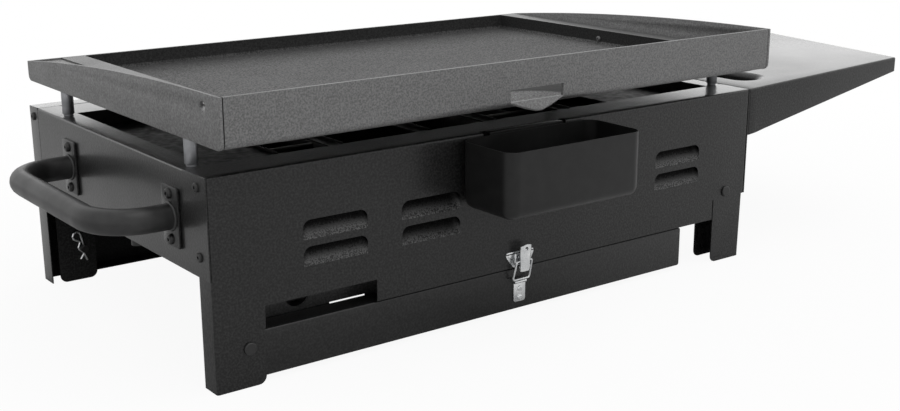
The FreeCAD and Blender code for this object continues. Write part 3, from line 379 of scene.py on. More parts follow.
rear_panel = blank((-panel_end, shelf_leg[1], shelf_leg[0], relief_end, *cup_notch[:2], *hose_window[:2],
                    *handle_leg),
                   (0.0, 54.0, hose_window[2], 78.0, 79.0, cup_notch[2], rim_z), rear_outline, rear_y, 1)
pick("VERT", lambda at, vertex: near(at.z, 0) and (near(at.x, handle_leg[0]) or near(at.x, shelf_leg[0])))
bpy.ops.mesh.bevel(offset=8.0, segments=6, affect="VERTICES")
pick("EDGE", lambda at, edge: near(at.z, rim_z))
extrude(0, cup_notch[3] - rear_y, 0)
extrude(0, flange_in - cup_notch[3], 0)
pick("EDGE", lambda at, edge: near(at.z, rim_z) and at.y < 200 and (
    near(at.x, cup_notch[0]) or near(at.x, cup_notch[1])))
bpy.ops.mesh.bridge_edge_loops()
pick("EDGE", lambda at, edge: near(at.y, rear_y) and edge.is_boundary and at.z < rim_z - 1 and (
    near(at.x, handle_leg[1]) or at.x < shelf_leg[1] + 0.05))
extrude(0, -24.0, 0)
face_out()
bend(fold_radius, lambda at, edge: not edge.is_boundary and near(at.y, rear_y) and (
    near(at.z, rim_z) or near(abs(at.x), panel_end) or near(at.x, shelf_leg[1])))
leave_work()
thicken(rear_panel, panel_sheet)

# louvres: a slit along the top edge, and below it a flap that is drawn in and runs back out to flush
louvre_long, louvre_tall, louvre_deep, louvre_round = 72.0, 19.0, 9.0, 8.5
louvre_tops = (lowest_row + row_step + louvre_tall, lowest_row + louvre_tall)
louvre_places = [(x, top) for x in (225.5, 113.0, -239.0) for top in louvre_tops]


def louvre_height(x):
    # height of the opening's outline at a distance x from its middle
    past = abs(x) - (louvre_long / 2 - louvre_round)
    if past <= 0:
        return louvre_tall
    return louvre_tall - louvre_round + math.sqrt(max(louvre_round ** 2 - past ** 2, 0.0))


louvre_hole = rod(louvre_round, (louvre_long / 2 - louvre_round, rear_y - 5, louvre_tall - louvre_round),
                  (louvre_long / 2 - louvre_round, rear_y + 5, louvre_tall - louvre_round), 40)
for part in (shift(copy_of(louvre_hole), 2 * louvre_round - louvre_long, 0, 0),
             block(louvre_round - louvre_long / 2, louvre_long / 2 - louvre_round, rear_y - 5, rear_y + 5,
                   0, louvre_tall),
             block(-louvre_long / 2, louvre_long / 2, rear_y - 5, rear_y + 5, 0, louvre_tall - louvre_round)):
    modify(louvre_hole, "BOOLEAN", operation="UNION", solver="EXACT", object=part)
    bpy.data.objects.remove(part)

clear_selection()
bpy.ops.mesh.primitive_grid_add(x_subdivisions=48, y_subdivisions=12, size=1, location=(0, rear_y, 0.5),
                                rotation=(-math.pi / 2, 0, 0))
louvre_flap = settle()
for vertex in louvre_flap.data.vertices:
    x = vertex.co.x * louvre_long
    z = vertex.co.z * louvre_height(x)
    side = min(1.0, (louvre_long / 2 - abs(x)) / 8.0)
    drawn = louvre_deep * math.sin(math.pi / 2 * z / louvre_tall) ** 1.5 * math.sqrt(side * (2 - side))
    vertex.co = (x, rear_y - drawn, z)
thicken(louvre_flap, panel_sheet)

louvre_flaps = []
for x, top in louvre_places:
    cut_away(rear_panel, shift(copy_of(louvre_hole), x, 0, top - louvre_tall))
    louvre_flaps.append(shift(copy_of(louvre_flap), x, 0, top - louvre_tall))
bpy.data.objects.remove(louvre_hole)
bpy.data.objects.remove(louvre_flap)
rear_panel = seat(merge(rear_panel, *louvre_flaps), "rear_panel_skin", textured_powder)
rear_panel.data.materials.append(louvre_powder)
for face in rear_panel.data.polygons:
    x, y, z = in_body(face)
    if face.area < 5e-5 and any(abs(x - middle) < louvre_long / 2 and top - louvre_tall < z < top
                                for middle, top in louvre_places):
        face.material_index = 1
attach(rear_panel, "base")
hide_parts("rear_panel")

# Front panel and end panels: the same coated sheet. The front panel carries the controls and folds
# round both corners, where a narrow open seam parts it from the end panels. Each has a top flange.
front_fold = 25.6
front_panel = blank((-body_half, -foot_in, foot_in, body_half), (0.0, 54.0, rim_z),
                    lambda x, z: z > 54 or abs(x) > foot_in, -rear_y, -1)
pick("VERT", lambda at, vertex: near(at.z, 0) and near(abs(at.x), foot_in))
bpy.ops.mesh.bevel(offset=8.0, segments=6, affect="VERTICES")
pick("EDGE", lambda at, edge: near(at.z, rim_z))
extrude(0, front_fold, 0)
pick("EDGE", lambda at, edge: near(abs(at.x), body_half) and near(at.y, -rear_y))
extrude(0, front_fold, 0)
face_out()
bend(fold_radius, lambda at, edge: not edge.is_boundary and near(at.y, -rear_y) and (
    near(at.z, rim_z) or near(abs(at.x), body_half)))
leave_work()
thicken(front_panel, panel_sheet)
cut_away(front_panel, *[rod(radius, (x, -225, z), (x, -205, z))
                        for radius, x, z in ((5.0, 180, 152), (5.0, -180, 152), (9.4, 0, 120))])
seat(front_panel, "front_panel_skin", textured_powder)
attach(front_panel, "base")
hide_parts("front_panel")


post_x, post_ys = 346.5, (166.0, -129.0)


def end_sheet(bottom):
    # made as the handle end's panel, which faces +X
    sheet = blank((-189.6, flange_in, rear_y), (bottom, rim_z), lambda y, z: True, 0.0, -1)
    leave_work()
    sheet.data.transform(Matrix.Translation((body_half, 0, 0)) @ Matrix.Rotation(math.pi / 2, 4, "Z"))
    work_on(sheet)
    bpy.ops.mesh.bisect(plane_co=(0, flange_in, 0), plane_no=(0, 1, 0))
    pick("EDGE", lambda at, edge: near(at.z, rim_z) and at.y < flange_in)
    extrude(-25.0, 0, 0)
    face_out()
    bend(fold_radius, lambda at, edge: not edge.is_boundary and near(at.z, rim_z) and near(at.x, body_half))
    leave_work()
    thicken(sheet, panel_sheet)
    for y in post_ys:
        cut_away(sheet, rod(3.5, (post_x, y, 200), (post_x, y, 210), 24))
    return merge(sheet, block(356.5, 357.7, -212.0, -177.6, bottom + 6.0, 204.6))


handle_end_panel = end_sheet(109.5)
shelf_end_sheet = end_sheet(79.0)
shelf_end_panel = mirrored(shelf_end_sheet, x=-1)
bpy.data.objects.remove(shelf_end_sheet)
for panel, node in ((handle_end_panel, "handle_end_panel"), (shelf_end_panel, "shelf_end_panel")):
    seat(panel, node + "_skin", textured_powder)
    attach(panel, "base")
    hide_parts(node)


def dress(node, material):
    # a frame piece whose shape is right gets its finish
    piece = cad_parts[node]
    piece.data.materials.clear()
    piece.data.materials.append(material)


# Inner walls: the same coated sheet, set inside the front and rear panels to make the slots that the
# legs fold into. The rear one has two feet, a guard below it, and a hole for the hose with a collar.
wall_y, wall_low, wall_top = 188.0, 110.0, 204.8
wall_end, tab_in, tab_out = 335.2, 306.0, 350.3
guard_ends, guard_low = (150.0, 176.0, 218.0), (50.0, 53.6)
hose_x, hose_z = 255, 70.7


def wall_outline(x, z):
    if abs(x) > wall_end:
        return z < wall_low
    if z > wall_low or abs(x) > tab_in:
        return True
    if x < guard_ends[0] or z < guard_low[0]:
        return False
    return z > guard_low[1] or not guard_ends[1] < x < guard_ends[2]


inner_wall = blank((-tab_out, -wall_end, -tab_in, *guard_ends, tab_in, wall_end, tab_out),
                   (0.0, *guard_low, wall_low, wall_top), wall_outline, wall_y, 1)
pick("VERT", lambda at, vertex: near(at.z, 0))
bpy.ops.mesh.bevel(offset=8.0, segments=6, affect="VERTICES")
leave_work()
thicken(inner_wall, panel_sheet)
cut_away(inner_wall, rod(14.5, (hose_x, 180, hose_z), (hose_x, 195, hose_z), 64),
         rod(4.1, (322.3, 180, 38), (322.3, 195, 38), 32), rod(4.1, (-324.5, 180, 86), (-324.5, 195, 86), 32))
hose_collar = cut_away(rod(14.6, (hose_x, 187.6, hose_z), (hose_x, 171.0, hose_z), 64),
                       rod(13.2, (hose_x, 200, hose_z), (hose_x, 160, hose_z), 64))
inner_wall = seat(merge(inner_wall, hose_collar), "rear_inner_wall_sheet", textured_powder)
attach(inner_wall, "base")
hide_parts("rear_inner_wall")
dress("front_inner_wall", textured_powder)

# Screws of the body: button heads with a hex socket, black oxide over steel, turned into the corners.


def satin_black(name, tone, roughness, level=0.5):
    # black oxide, smooth stoved paint or moulded plastic: even, slightly cloudy, soft sheen
    material, shader = new_finish(name, {"IOR": 1.5, "Specular IOR Level": level})
    cloud = grain(material, 12.0, 3.0)
    blend_colours(material, shader, cloud, 0.35, tone[0], 0.7, tone[1])
    vary_roughness(material, shader, grain(material, 30.0), roughness - 0.05, roughness + 0.05)
    raise_grain(material, shader, grain(material, 2.0), 0.05, 0.25)
    return material


black_oxide = satin_black("black oxide on steel fasteners", ("#101010", "#1d1d1d"), 0.42)


def button_head(radius, height, socket, sunk=1.2):
    # stands on z = 0, head up, with a hex socket sunk in its top
    head = rod(radius, (0, 0, -0.6), (0, 0, height), 36)
    round_off(head, height * 0.72, lambda at, edge: near(at.z, height), 5)
    return cut_away(head, rod(socket, (0, 0, height - sunk), (0, 0, height + 2), 6))


def facing_x(piece, side, x, y, z):
    piece.data.transform(Matrix.Translation((x, y, z)) @ Matrix.Rotation(side * math.pi / 2, 4, "Y"))
    return piece


screw = button_head(4.6, 2.2, 1.7)
screws = [facing_x(copy_of(screw), side, side * body_half, y, z)
          for side, y, z in ((1, 198.5, 194.4), (1, 198.5, 129.2), (1, -203.2, 195.0),
                             (-1, 198.5, 129.2), (-1, -203.2, 129.2))]
bpy.data.objects.remove(screw)
body_screws = seat(merge(*screws), "body_button_screws", black_oxide)
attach(body_screws, "base")
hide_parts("body_screws")

# Firebox, heat spreader, burners and igniter rods inside the body. Thin steel sheet and tube, dull and
# a very little brown, the burners from aluminised steel and the rods from glazed ceramic.


def inside_metal(name, dark, light, roughness):
    # sheet and tube dulled by heat: cloudy, with a fine grain and a broken gloss
    material, shader = new_finish(name, {"Metallic": 0.9})
    blend_colours(material, shader, grain(material, 35.0, 4.0), 0.35, dark, 0.68, light)
    vary_roughness(material, shader, grain(material, 8.0), roughness - 0.08, roughness + 0.1)
    raise_grain(material, shader, grain(material, 1.2), 0.08, 0.3)
    return material


fire_sheet = inside_metal("heat dulled firebox sheet", "#1a1918", "#2b2928", 0.6)
spreader_sheet = inside_metal("dark cold rolled spreader sheet", "#1c1c1c", "#343433", 0.5)
burner_tube = inside_metal("aluminised burner tube", "#3c3b3a", "#5d5b58", 0.42)
dress("firebox", fire_sheet)
dress("heat_spreader", spreader_sheet)
dress("handle_end_burner", burner_tube)
dress("shelf_end_burner", burner_tube)

# glazed ceramic: cream, with a soft gloss
glazed, glaze_shader = new_finish("glazed ceramic igniter rod", {"IOR": 1.5, "Roughness": 0.25})
blend_colours(glazed, glaze_shader, grain(glazed, 6.0), 0.3, "#cfc9bd", 0.7, "#ece8de")
dress("spark_electrodes", glazed)

# Gas train: brass valves on a steel pipe behind the front panel, and the pipe along the handle end
# down to the threaded inlet. Turned and drawn metal, with a fine grain in its gloss.


def drawn_metal(name, dark, light, roughness):
    # turned, drawn or plated metal: clean, a faintly cloudy tone and a very fine grain in its gloss
    material, shader = new_finish(name, {"Metallic": 1.0})
    blend_colours(material, shader, grain(material, 18.0, 3.0), 0.3, dark, 0.7, light)
    vary_roughness(material, shader, grain(material, 1.5), roughness - 0.06, roughness + 0.08)
    raise_grain(material, shader, grain(material, 0.8), 0.03, 0.3)
    return material


turned_brass = drawn_metal("turned brass fittings", "#9c7b3a", "#c9a558", 0.28)
gas_pipe_steel = drawn_metal("zinc plated gas pipe", "#86888a", "#b0b2b3", 0.33)
zinc_plate = drawn_metal("bright zinc plate on pressed steel", "#c4c6c8", "#eeefef", 0.28)
for node in ("gas_valves", "valve_collars"):
    dress(node, turned_brass)
dress("gas_inlet_fitting", black_oxide)
for node in ("gas_manifold", "gas_supply_pipe"):
    dress(node, gas_pipe_steel)
for node in ("handle_end_valve_stem", "shelf_end_valve_stem"):
    dress(node, zinc_plate)

# Control knobs and igniter button: moulded black phenolic. Each knob has a round skirt and a bar to
# grip, with a white line let into the bar's end that points at the setting.
moulded_black = satin_black("moulded black phenolic", ("#0e0e0e", "#181818"), 0.33)
# paint filled into the pointer's groove: off white and flat
pointer_white, pointer_shader = new_finish("white fill of the pointer line", {"Roughness": 0.45})
blend_colours(pointer_white, pointer_shader, grain(pointer_white, 3.0), 0.3, "#dcdcd8", 0.7, "#f0f0ee")


def control_knob():
    # made about the origin, facing up, 20 mm tall
    skirt = rod(22.0, (0, 0, 0), (0, 0, 9.0), 72)
    work_on(skirt)
    pick("FACE", lambda at, face: face.normal.z > 0.9)
    bpy.ops.transform.resize(value=(0.87, 0.87, 1))
    bpy.ops.mesh.inset(thickness=2.6, depth=-0.8)
    leave_work()
    soften(skirt, 1.1, 3, 25)
    grip = block(-6.5, 6.5, -18.5, 18.5, 7.6, 20.0)
    work_on(grip)
    bend(5.2, lambda at, edge: near(run(edge, "z"), 12.4, 0.2), 6)
    pick("FACE", lambda at, face: face.normal.z > 0.9)
    bpy.ops.transform.resize(value=(0.78, 0.95, 1))
    leave_work()
    soften(grip, 1.3, 3, 40)
    return merge(skirt, grip)


knob = control_knob()
for end, x in (("handle_end", 180.0), ("shelf_end", -180.0)):
    face_front = Matrix.Translation((x, -219.6, 152.0)) @ Matrix.Rotation(math.pi / 2, 4, "X")
    body = copy_of(knob)
    body.data.transform(face_front)
    seat(body, end + "_knob_body", moulded_black)
    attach(body, end + "_dial")
    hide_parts(end + "_knob")
    line = block(-0.8, 0.8, 6.0, 17.0, 19.2, 20.0)
    soften(line, 0.25, 2, 40)
    line.data.transform(face_front @ Matrix.Translation((0, 0, -0.02)))
    seat(line, end + "_knob_pointer", pointer_white)
    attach(line, end + "_dial")
bpy.data.objects.remove(knob)
dress("igniter_housing", moulded_black)
dress("igniter_button", moulded_black)

# Folding leg frames: two channel rails joined by one or two cross tubes, one frame pivoted at each end
# and folded flat between the panels. Rolled and welded steel, powder coated black, on pins.
leg_powder = powder_coat("leg frame black powder coat", "#0b0b0b", "#242424", 0.4, 0.42)


rail_tall, rail_deep, rail_wall = 46.2, 24.6, 1.6
butt_round, tip_round = 16.0, 2.8


def channel_rail(x0, x1, z0, butt_x, outer):
    # the +Y rail: web outside, flanges inwards
    def solid(less, y0, y1):
        piece = block(x0 + less, x1 - less, y0, y1, z0 + less, z0 + rail_tall - less)
        for end, radius, segments in ((butt_x, butt_round, 8), (x0 + x1 - butt_x, tip_round, 6)):
            round_off(piece, radius - less,
                      lambda at, edge: near(run(edge, "y"), y1 - y0) and abs(at.x - end) < 2, segments)
        return piece
    inner = outer - rail_deep
    rail = solid(0, inner, outer)
    round_off(rail, rail_wall, lambda at, edge: near(at.y, outer) and near(run(edge, "y"), 0), 3)
    return cut_away(rail, solid(rail_wall, inner - 1, outer - rail_wall))


for node, x0, x1, z0, butt, outer, pin, tubes, body in (
        ("low_leg_frame", -251.7, 340.3, 6.6, 340.3, 214.4, (322.3, 38.0), ((-237.7, 30.3),), "low_legs"),
        ("high_leg_frame", -342.5, 295.5, 62.3, -342.5, 186.4, (-324.5, 86.0),
         ((281.5, 86.0), (-204.5, 86.0)), "high_legs")):
    rail = channel_rail(x0, x1, z0, butt, outer)
    bush = rod(7.5, (pin[0], outer - rail_deep, pin[1]), (pin[0], outer - 0.8, pin[1]), 32)
    for part in (rail, bush):
        cut_away(part, rod(4.1, (pin[0], outer + 2, pin[1]), (pin[0], outer - 30, pin[1]), 32))
    other_rail, other_bush = mirrored(rail, y=-1), mirrored(bush, y=-1)
    bars = [rod(11.0, (x, 2 - outer, z), (x, outer - 2, z), 40) for x, z in tubes]
    legs = merge(rail, bush, other_rail, other_bush, *bars)
    seat(legs, node + "_welded", leg_powder)
    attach(legs, body)
    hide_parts(node)
dress("low_pivot_pins", black_oxide)
dress("high_pivot_pins", black_oxide)
dress("high_r_clips", zinc_plate)

# Toggle latch that holds the low leg frame up: a riveted base, a pressed lever with curled sides, a
# wire bail and a keeper with a rolled lip. Zinc plated mild steel, bright, with soft pressed edges.
latch_x = -3.5
base_plate = block(-20.5, 20.5, 216.0, 217.2, 55.0, 72.3)
work_on(base_plate)
bpy.ops.mesh.bisect(plane_co=(0, 0, 67.8), plane_no=(0, 0, 1))
pick("VERT", lambda at, vertex: near(at.z, 55.0))
bpy.ops.transform.resize(value=(10.5 / 20.5, 1, 1), center_override=(0, 216.6, 55.0))
bend(2.4, lambda at, edge: near(run(edge, "y"), 1.2), 4)
move(lambda at, vertex: at.x < -12, 3.0, 0, 0)
leave_work()
soften(base_plate, 0.35, 2, 40)
latch_parts = [base_plate]
for side, rivet_x in ((1, 15.6), (-1, -13.0)):
    rivet = rod(2.3, (rivet_x, 216.6, 68.2), (rivet_x, 218.3, 68.2), 28)
    round_off(rivet, 1.0, lambda at, edge: near(at.y, 218.3))
    ear = rod(2.8, (side * 5.5, 222.0, 55.8), (side * 6.7, 222.0, 55.8), 24)
    web = block(side * 5.5, side * 6.7, 216.2, 222.0, 55.8, 64.0)
    work_on(web)
    move(lambda at, vertex: at.y > 221 and at.z > 60, 0, 1.6, -6.6)
    move(lambda at, vertex: at.y < 217 and at.z < 57, 0, 0, -0.6)
    leave_work()
    latch_parts += [rivet, ear, web]
latch_parts.append(rod(1.5, (-7.2, 222.0, 55.8), (7.2, 222.0, 55.8), 20))
tab = block(-8.6, 8.6, 216.8, 218.6, 60.0, 70.5)
round_off(tab, 1.4, lambda at, edge: at.z > 70 or (near(abs(at.x), 8.6) and at.y > 218), 3)
latch_parts.append(cut_away(tab, *[rod(1.7, (x, 217.8, 66.2), (x, 220, 66.2), 20) for x in (-5.2, 5.2)]))
base_of_latch = shift(merge(*latch_parts), latch_x, 0, 0)
seat(base_of_latch, "latch_base_riveted", zinc_plate)
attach(base_of_latch, "base")
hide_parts("latch_base")

# lever: face plate rounded at the top and tapered on one side, sides curled back, cheeks to the pivot
lever = block(-7.0, 7.0, 225.6, 226.8, 51.8, 81.0)
work_on(lever)
for z in (56.0, 62.0, 68.0, 74.0, 77.5):
    split((0, 0, z), (0, 0, 1))
for x in (-5.0, -2.5, 0.0, 2.5, 5.0):
    split((x, 0, 0), (1, 0, 0))
leave_work()
for vertex in lever.data.vertices:
    edge = max(0.0, abs(vertex.co.x) - 4.9) / 2.1
    vertex.co.y -= 1.5 * edge * edge
    if vertex.co.z > 79:
        vertex.co.z -= 1.9 * (vertex.co.x / 7.0) ** 2
    if vertex.co.x < 0:
        vertex.co.x *= 0.68 + 0.5 * (vertex.co.z - 51.8) / 29.2
cut_away(lever, rod(2.0, (0, 220, 76.5), (0, 230, 76.5), 24))
lever_parts = [soften(lever, 0.3, 2, 40)]
for side in (1, -1):
    cheek = block(side * 4.0, side * 5.2, 219.4, 226.0, 53.0, 69.6)
    work_on(cheek)
    bpy.ops.mesh.bisect(plane_co=(0, 0, 60.6), plane_no=(0, 0, 1))
    move(lambda at, vertex: at.y < 220 and at.z > 64, 0, 4.6, 0)
    move(lambda at, vertex: at.y < 220 and near(at.z, 60.6), 0, 0.9, 0)
    move(lambda at, vertex: at.y < 220 and at.z < 54, 0, 1.0, 0.6)
    leave_work()
    lever_parts.append(soften(cheek, 0.3, 2, 40))
lever = shift(merge(*lever_parts), latch_x, 0, 0)
seat(lever, "latch_lever_pressed", zinc_plate)
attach(lever, "lever")
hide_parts("latch_lever")


def round_wire(points, radius, rounding, sides=12, closed=False):
    # bent wire or tube: straight runs with rounded corners, skinned round its middle line
    curve = bpy.data.curves.new("wire", "CURVE")
    curve.dimensions = "3D"
    curve.bevel_depth = radius
    curve.bevel_resolution = sides // 4
    curve.use_fill_caps = not closed
    corners = [Vector(p) for p in points]
    path = []
    count = len(corners)
    for index, corner in enumerate(corners):
        if not closed and index in (0, count - 1):
            path.append(corner)
            continue
        a = (corners[index - 1] - corner).normalized()
        b = (corners[(index + 1) % count] - corner).normalized()
        half = a.angle(b) / 2
        back = rounding / math.tan(half)
        middle = corner + (a + b).normalized() * (rounding / math.sin(half))
        start, end = corner + a * back - middle, corner + b * back - middle
        axis, turn = start.cross(end), start.angle(end)
        for step in range(13):
            path.append(middle + Quaternion(axis, turn * step / 12) @ start)
    spline = curve.splines.new("POLY")
    spline.points.add(len(path) - 1)
    for point, place in zip(spline.points, path):
        point.co = (*place, 1)
    spline.use_cyclic_u = closed
    wire = bpy.data.objects.new("wire", curve)
    bpy.context.collection.objects.link(wire)
    hold(wire)
    bpy.ops.object.convert(target="MESH")
    return bpy.context.object


bail_wire = round_wire([(-10.4, 223.2, 62.5), (10.4, 223.2, 62.5), (12.2, 218.6, 41), (-10.4, 218.6, 41)],
                       1.25, 2.4, 12, True)
bail_wire = shift(bail_wire, latch_x, 0, 0)
seat(bail_wire, "latch_bail_wire", zinc_plate, 60)
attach(bail_wire, "bail")
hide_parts("latch_bail")

keeper = block(-8, 8, 214.4, 215.6, 14.8, 37.4)
round_off(keeper, 3.0, lambda at, edge: near(at.z, 14.8) and near(run(edge, "y"), 1.2), 5)
soften(keeper, 0.3, 2, 40)
keeper_parts = [keeper]
lip = rod(1.8, (-8, 216.2, 37.4), (8, 216.2, 37.4), 24)
keeper_parts.append(soften(lip, 0.3, 2, 40))
for z in (29.5, 19.4):
    head = rod(3.1, (0, 215.2, z), (0, 217.1, z), 32)
    round_off(head, 1.1, lambda at, edge: near(at.y, 217.1))
    cut_away(head, rod(1.1, (0, 214.8, z), (0, 218, z), 20))
    keeper_parts.append(head)
keeper = shift(merge(*keeper_parts), latch_x, 0, 0)
seat(keeper, "latch_keeper_riveted", zinc_plate)
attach(keeper, "low_legs")
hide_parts("latch_keeper")

# spring wire clips at both low pivot pins: a straight leg through the pin, a ring and a waved leg
clip_line = [(325.5, 25.0), (320.9, 31.6), (321.3, 41.7), (323.8, 53.3), (325.2, 56.6), (328.3, 58.0),
             (331.9, 56.6), (333.3, 53.2), (332.2, 49.6), (328.8, 47.6), (324.9, 45.6), (327.4, 39.1),
             (326.1, 36.1), (321.5, 32.0), (317.8, 22.9)]
clips = [round_wire([(x, y, z) for x, z in clip_line], 1.0, 1.2) for y in (184.8, -184.8)]
clips = seat(merge(*clips), "low_r_clips_bent", zinc_plate)
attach(clips, "base")
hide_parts("low_r_clips")

# Carrying handle at one end: a 25 mm steel tube bent twice, welded to two coated plates and bolted on.
# Smooth satin black enamel, a little brighter than the panels.
handle_enamel = satin_black("satin black enamel on tube", ("#191919", "#2a2a2a"), 0.40)
handle_ends = (147.05, -97.45)
tube_in, tube_out, tube_z = 361.0, 427.0, 157
handle_line = [(tube_in, handle_ends[0], tube_z), (tube_out, handle_ends[0], tube_z),
               (tube_out, handle_ends[1], tube_z), (tube_in, handle_ends[1], tube_z)]
handle_tube = round_wire(handle_line, 12.5, 46.0, 32)
handle_parts = [handle_tube]
for y in handle_ends:
    clear_selection()
    bpy.ops.mesh.primitive_torus_add(major_radius=12.6, minor_radius=1.7, major_segments=48,
                                     minor_segments=10, location=(362.3, y, tube_z),
                                     rotation=(0, math.pi / 2, 0))
    handle_parts.append(settle())
handle = seat(merge(*handle_parts), "carry_handle_tube", handle_enamel, 50)
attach(handle, "base")
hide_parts("carry_handle")

plates = []
bolts = []
bolt = button_head(5.2, 3.4, 1.9, 1.56)
for y in handle_ends:
    plate = block(body_half, 362.0, y - 16.5, y + 16.5, 128.0, 186.0)
    round_off(plate, 3.0, lambda at, edge: near(run(edge, "x"), 3.0))
    plates.append(soften(plate, 0.5, 2, 40))
    for z in (135.0, 179.0):
        bolts.append(facing_x(copy_of(bolt), 1, 362.0, y, z))
        bolts.append(rod(3.0, (352.8, y, z), (360.0, y, z), 20))
        bolts.append(soften(rod(5.0, (353.8, y, z), (357.8, y, z), 6), 0.4, 2, 40))
bpy.data.objects.remove(bolt)
plates = seat(merge(*plates), "handle_welded_plates", textured_powder)
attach(plates, "base")
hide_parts("handle_plates")
bolts = seat(merge(*bolts), "handle_button_bolts", black_oxide)
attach(bolts, "base")
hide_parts("handle_bolts")

# Side shelf at the other end: one coated sheet with all four edges folded down, its outer edge cut on
# the slant, with a long grip slot near the body. It hooks on studs and lifts off.


shelf_in, shelf_rise, shelf_reach = -359.4, 11.0, 288.0


def shelf_z(x):
    # the sheet rises outwards, by shelf_rise at its rear outer corner
    return rim_z + shelf_rise * (shelf_in - x) / shelf_reach


def faced(points):
    # a flat face with the given corners
    clear_selection()
    bpy.ops.mesh.primitive_circle_add(vertices=len(points), radius=1, fill_type="NGON")
    sheet = bpy.context.object
    for vertex, place in zip(sheet.data.vertices, points):
        vertex.co = place
    return sheet


top_corners = [(shelf_in, 216), (-373.4, 216), (-389.4, 216), (-647.4, 216), (-716.5, -142), (-655.4, -216),
               (-389.4, -216), (-373.4, -216), (shelf_in, -216)]
shelf = faced([(x, y, shelf_z(x)) for x, y in top_corners])
work_on(shelf)
bpy.ops.mesh.normals_make_consistent(inside=False)
if bmesh.from_edit_mesh(shelf.data).faces[:][0].normal.z < 0:
    bpy.ops.mesh.flip_normals()
pick("EDGE", lambda at, edge: edge.is_boundary)
bpy.ops.mesh.extrude_edges_move(TRANSFORM_OT_translate={"value": (0, 0, -8.0)})
leave_work()
# how low the side folds reach at each x
skirt_low = {shelf_in: 150.0, -373.4: 151.5, -389.4: 154.6}
for vertex in shelf.data.vertices:
    if vertex.co.z < shelf_z(vertex.co.x) - 4:
        for x, z in skirt_low.items():
            if near(vertex.co.x, x, 0.5):
                vertex.co.z = z
        if vertex.co.x < -600:
            vertex.co.z = shelf_z(vertex.co.x) - 18.0
work_on(shelf)
bend(2.4, lambda at, edge: not edge.is_boundary and (
    near(at.z, shelf_z(at.x), 0.3) or (run(edge, "z") > 15 and (
        near(at.x, shelf_in) or at.x < -600))), 4)
leave_work()
thicken(shelf, panel_sheet)

# grip slot: the sheet is drawn down all round it in one fold, 11 mm deep
slot_x, slot_ends, slot_round = -412.0, (88.0, 161.0), 19.0
slot_flare = 24.4
cut_away(shelf, block(slot_x - slot_flare, slot_x + slot_flare, *slot_ends, 190, 230),
         *[rod(slot_flare, (slot_x, y, 190), (slot_x, y, 230), 64) for y in slot_ends])
slot_path = []
for middle, start in ((slot_ends[1], 0), (slot_ends[0], math.pi)):
    for step in range(33):
        turn = start + math.pi * step / 32
        slot_path.append((middle, math.cos(turn), math.sin(turn)))
slot_fold = [(5.5, -0.05), (3.5, -0.4), (1.2, -1.4), (-0.8, -3.0), (-2.2, -5.0), (-3.0, -7.6), (-3.2, -11.0),
             (-2.0, -11.0), (-1.8, -8.0), (-1.1, -5.7), (0.1, -4.0), (1.9, -2.6), (3.8, -1.6), (5.5, -1.25)]
slot_mesh = bmesh.new()
slot_rings = [[slot_mesh.verts.new((slot_x + cos * (slot_round + out), middle + sin * (slot_round + out),
                                    shelf_z(slot_x + cos * (slot_round + out)) + up))
               for out, up in slot_fold]
              for middle, cos, sin in slot_path]
for this, following in zip(slot_rings, slot_rings[1:] + slot_rings[:1]):
    for here in range(len(slot_fold)):
        after = (here + 1) % len(slot_fold)
        slot_mesh.faces.new((this[here], this[after], following[after], following[here]))
bmesh.ops.recalc_face_normals(slot_mesh, faces=slot_mesh.faces)
slot_edge = bpy.data.objects.new("slot_edge", bpy.data.meshes.new("slot_edge"))
slot_mesh.to_mesh(slot_edge.data)
slot_mesh.free()
bpy.context.collection.objects.link(slot_edge)
for y in (150.0, -150.0):
    for z in (192.0, 168.0):
        cut_away(shelf, rod(3.4, (-363, y, z), (-358, y, z), 24),
                 block(-363, -358, y - 3.4, y + 3.4, z - 14, z),
                 rod(6.1, (-363, y, z - 14), (-358, y, z - 14), 24))
shelf = seat(merge(shelf, slot_edge), "side_shelf_sheet", textured_powder)
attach(shelf, "shelf")
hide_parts("side_shelf")
dress("shelf_studs", black_oxide)

# Griddle plate: heavy 3.4 mm steel, folded into a trough, with a ledge at each end and a curved shield
# welded across each end. The grease slot in the rear wall has a small pointed spout below it.


def bare_plate(name, dark, light, roughness, metallic, level=0.5):
    # blasted carbon steel: grey, an even grain of about a millimetre, drawn at 1.8 mm
    material, shader = new_finish(name, {"Metallic": metallic, "IOR": 1.5, "Specular IOR Level": level})
    pits = grain(material, 1.8)
    blend_colours(material, shader, pits, 0.36, dark, 0.66, light)
    vary_roughness(material, shader, grain(material, 45.0, 3.0), roughness - 0.05, roughness + 0.05)
    raise_grain(material, shader, pits, 0.2, 0.3)
    return material


griddle_steel = bare_plate("blasted carbon steel griddle plate", "#626262", "#808080", 0.50, 0.55)
cooking_steel = bare_plate("oiled matt cooking surface with painted shade and light", "#464646", "#7c7c7c", 0.80, 0.0, 0.2)
# Painted shade along the front wall. The ring by the grease slot is a guess, painted shade with a painted
# light middle, so that the slot looks as it does in the photograph. A real plate would have no such ring.
cooking_shader = cooking_steel.node_tree.nodes["Principled BSDF"]
cooking_place = add_node(cooking_steel, "ShaderNodeTexCoord")
slot_middle = (0.1385, 0.211, 0.24)
from_slot = add_node(cooking_steel, "ShaderNodeVectorMath", {"operation": "DISTANCE", 1: slot_middle},
                     {0: cooking_place.outputs["Object"]})
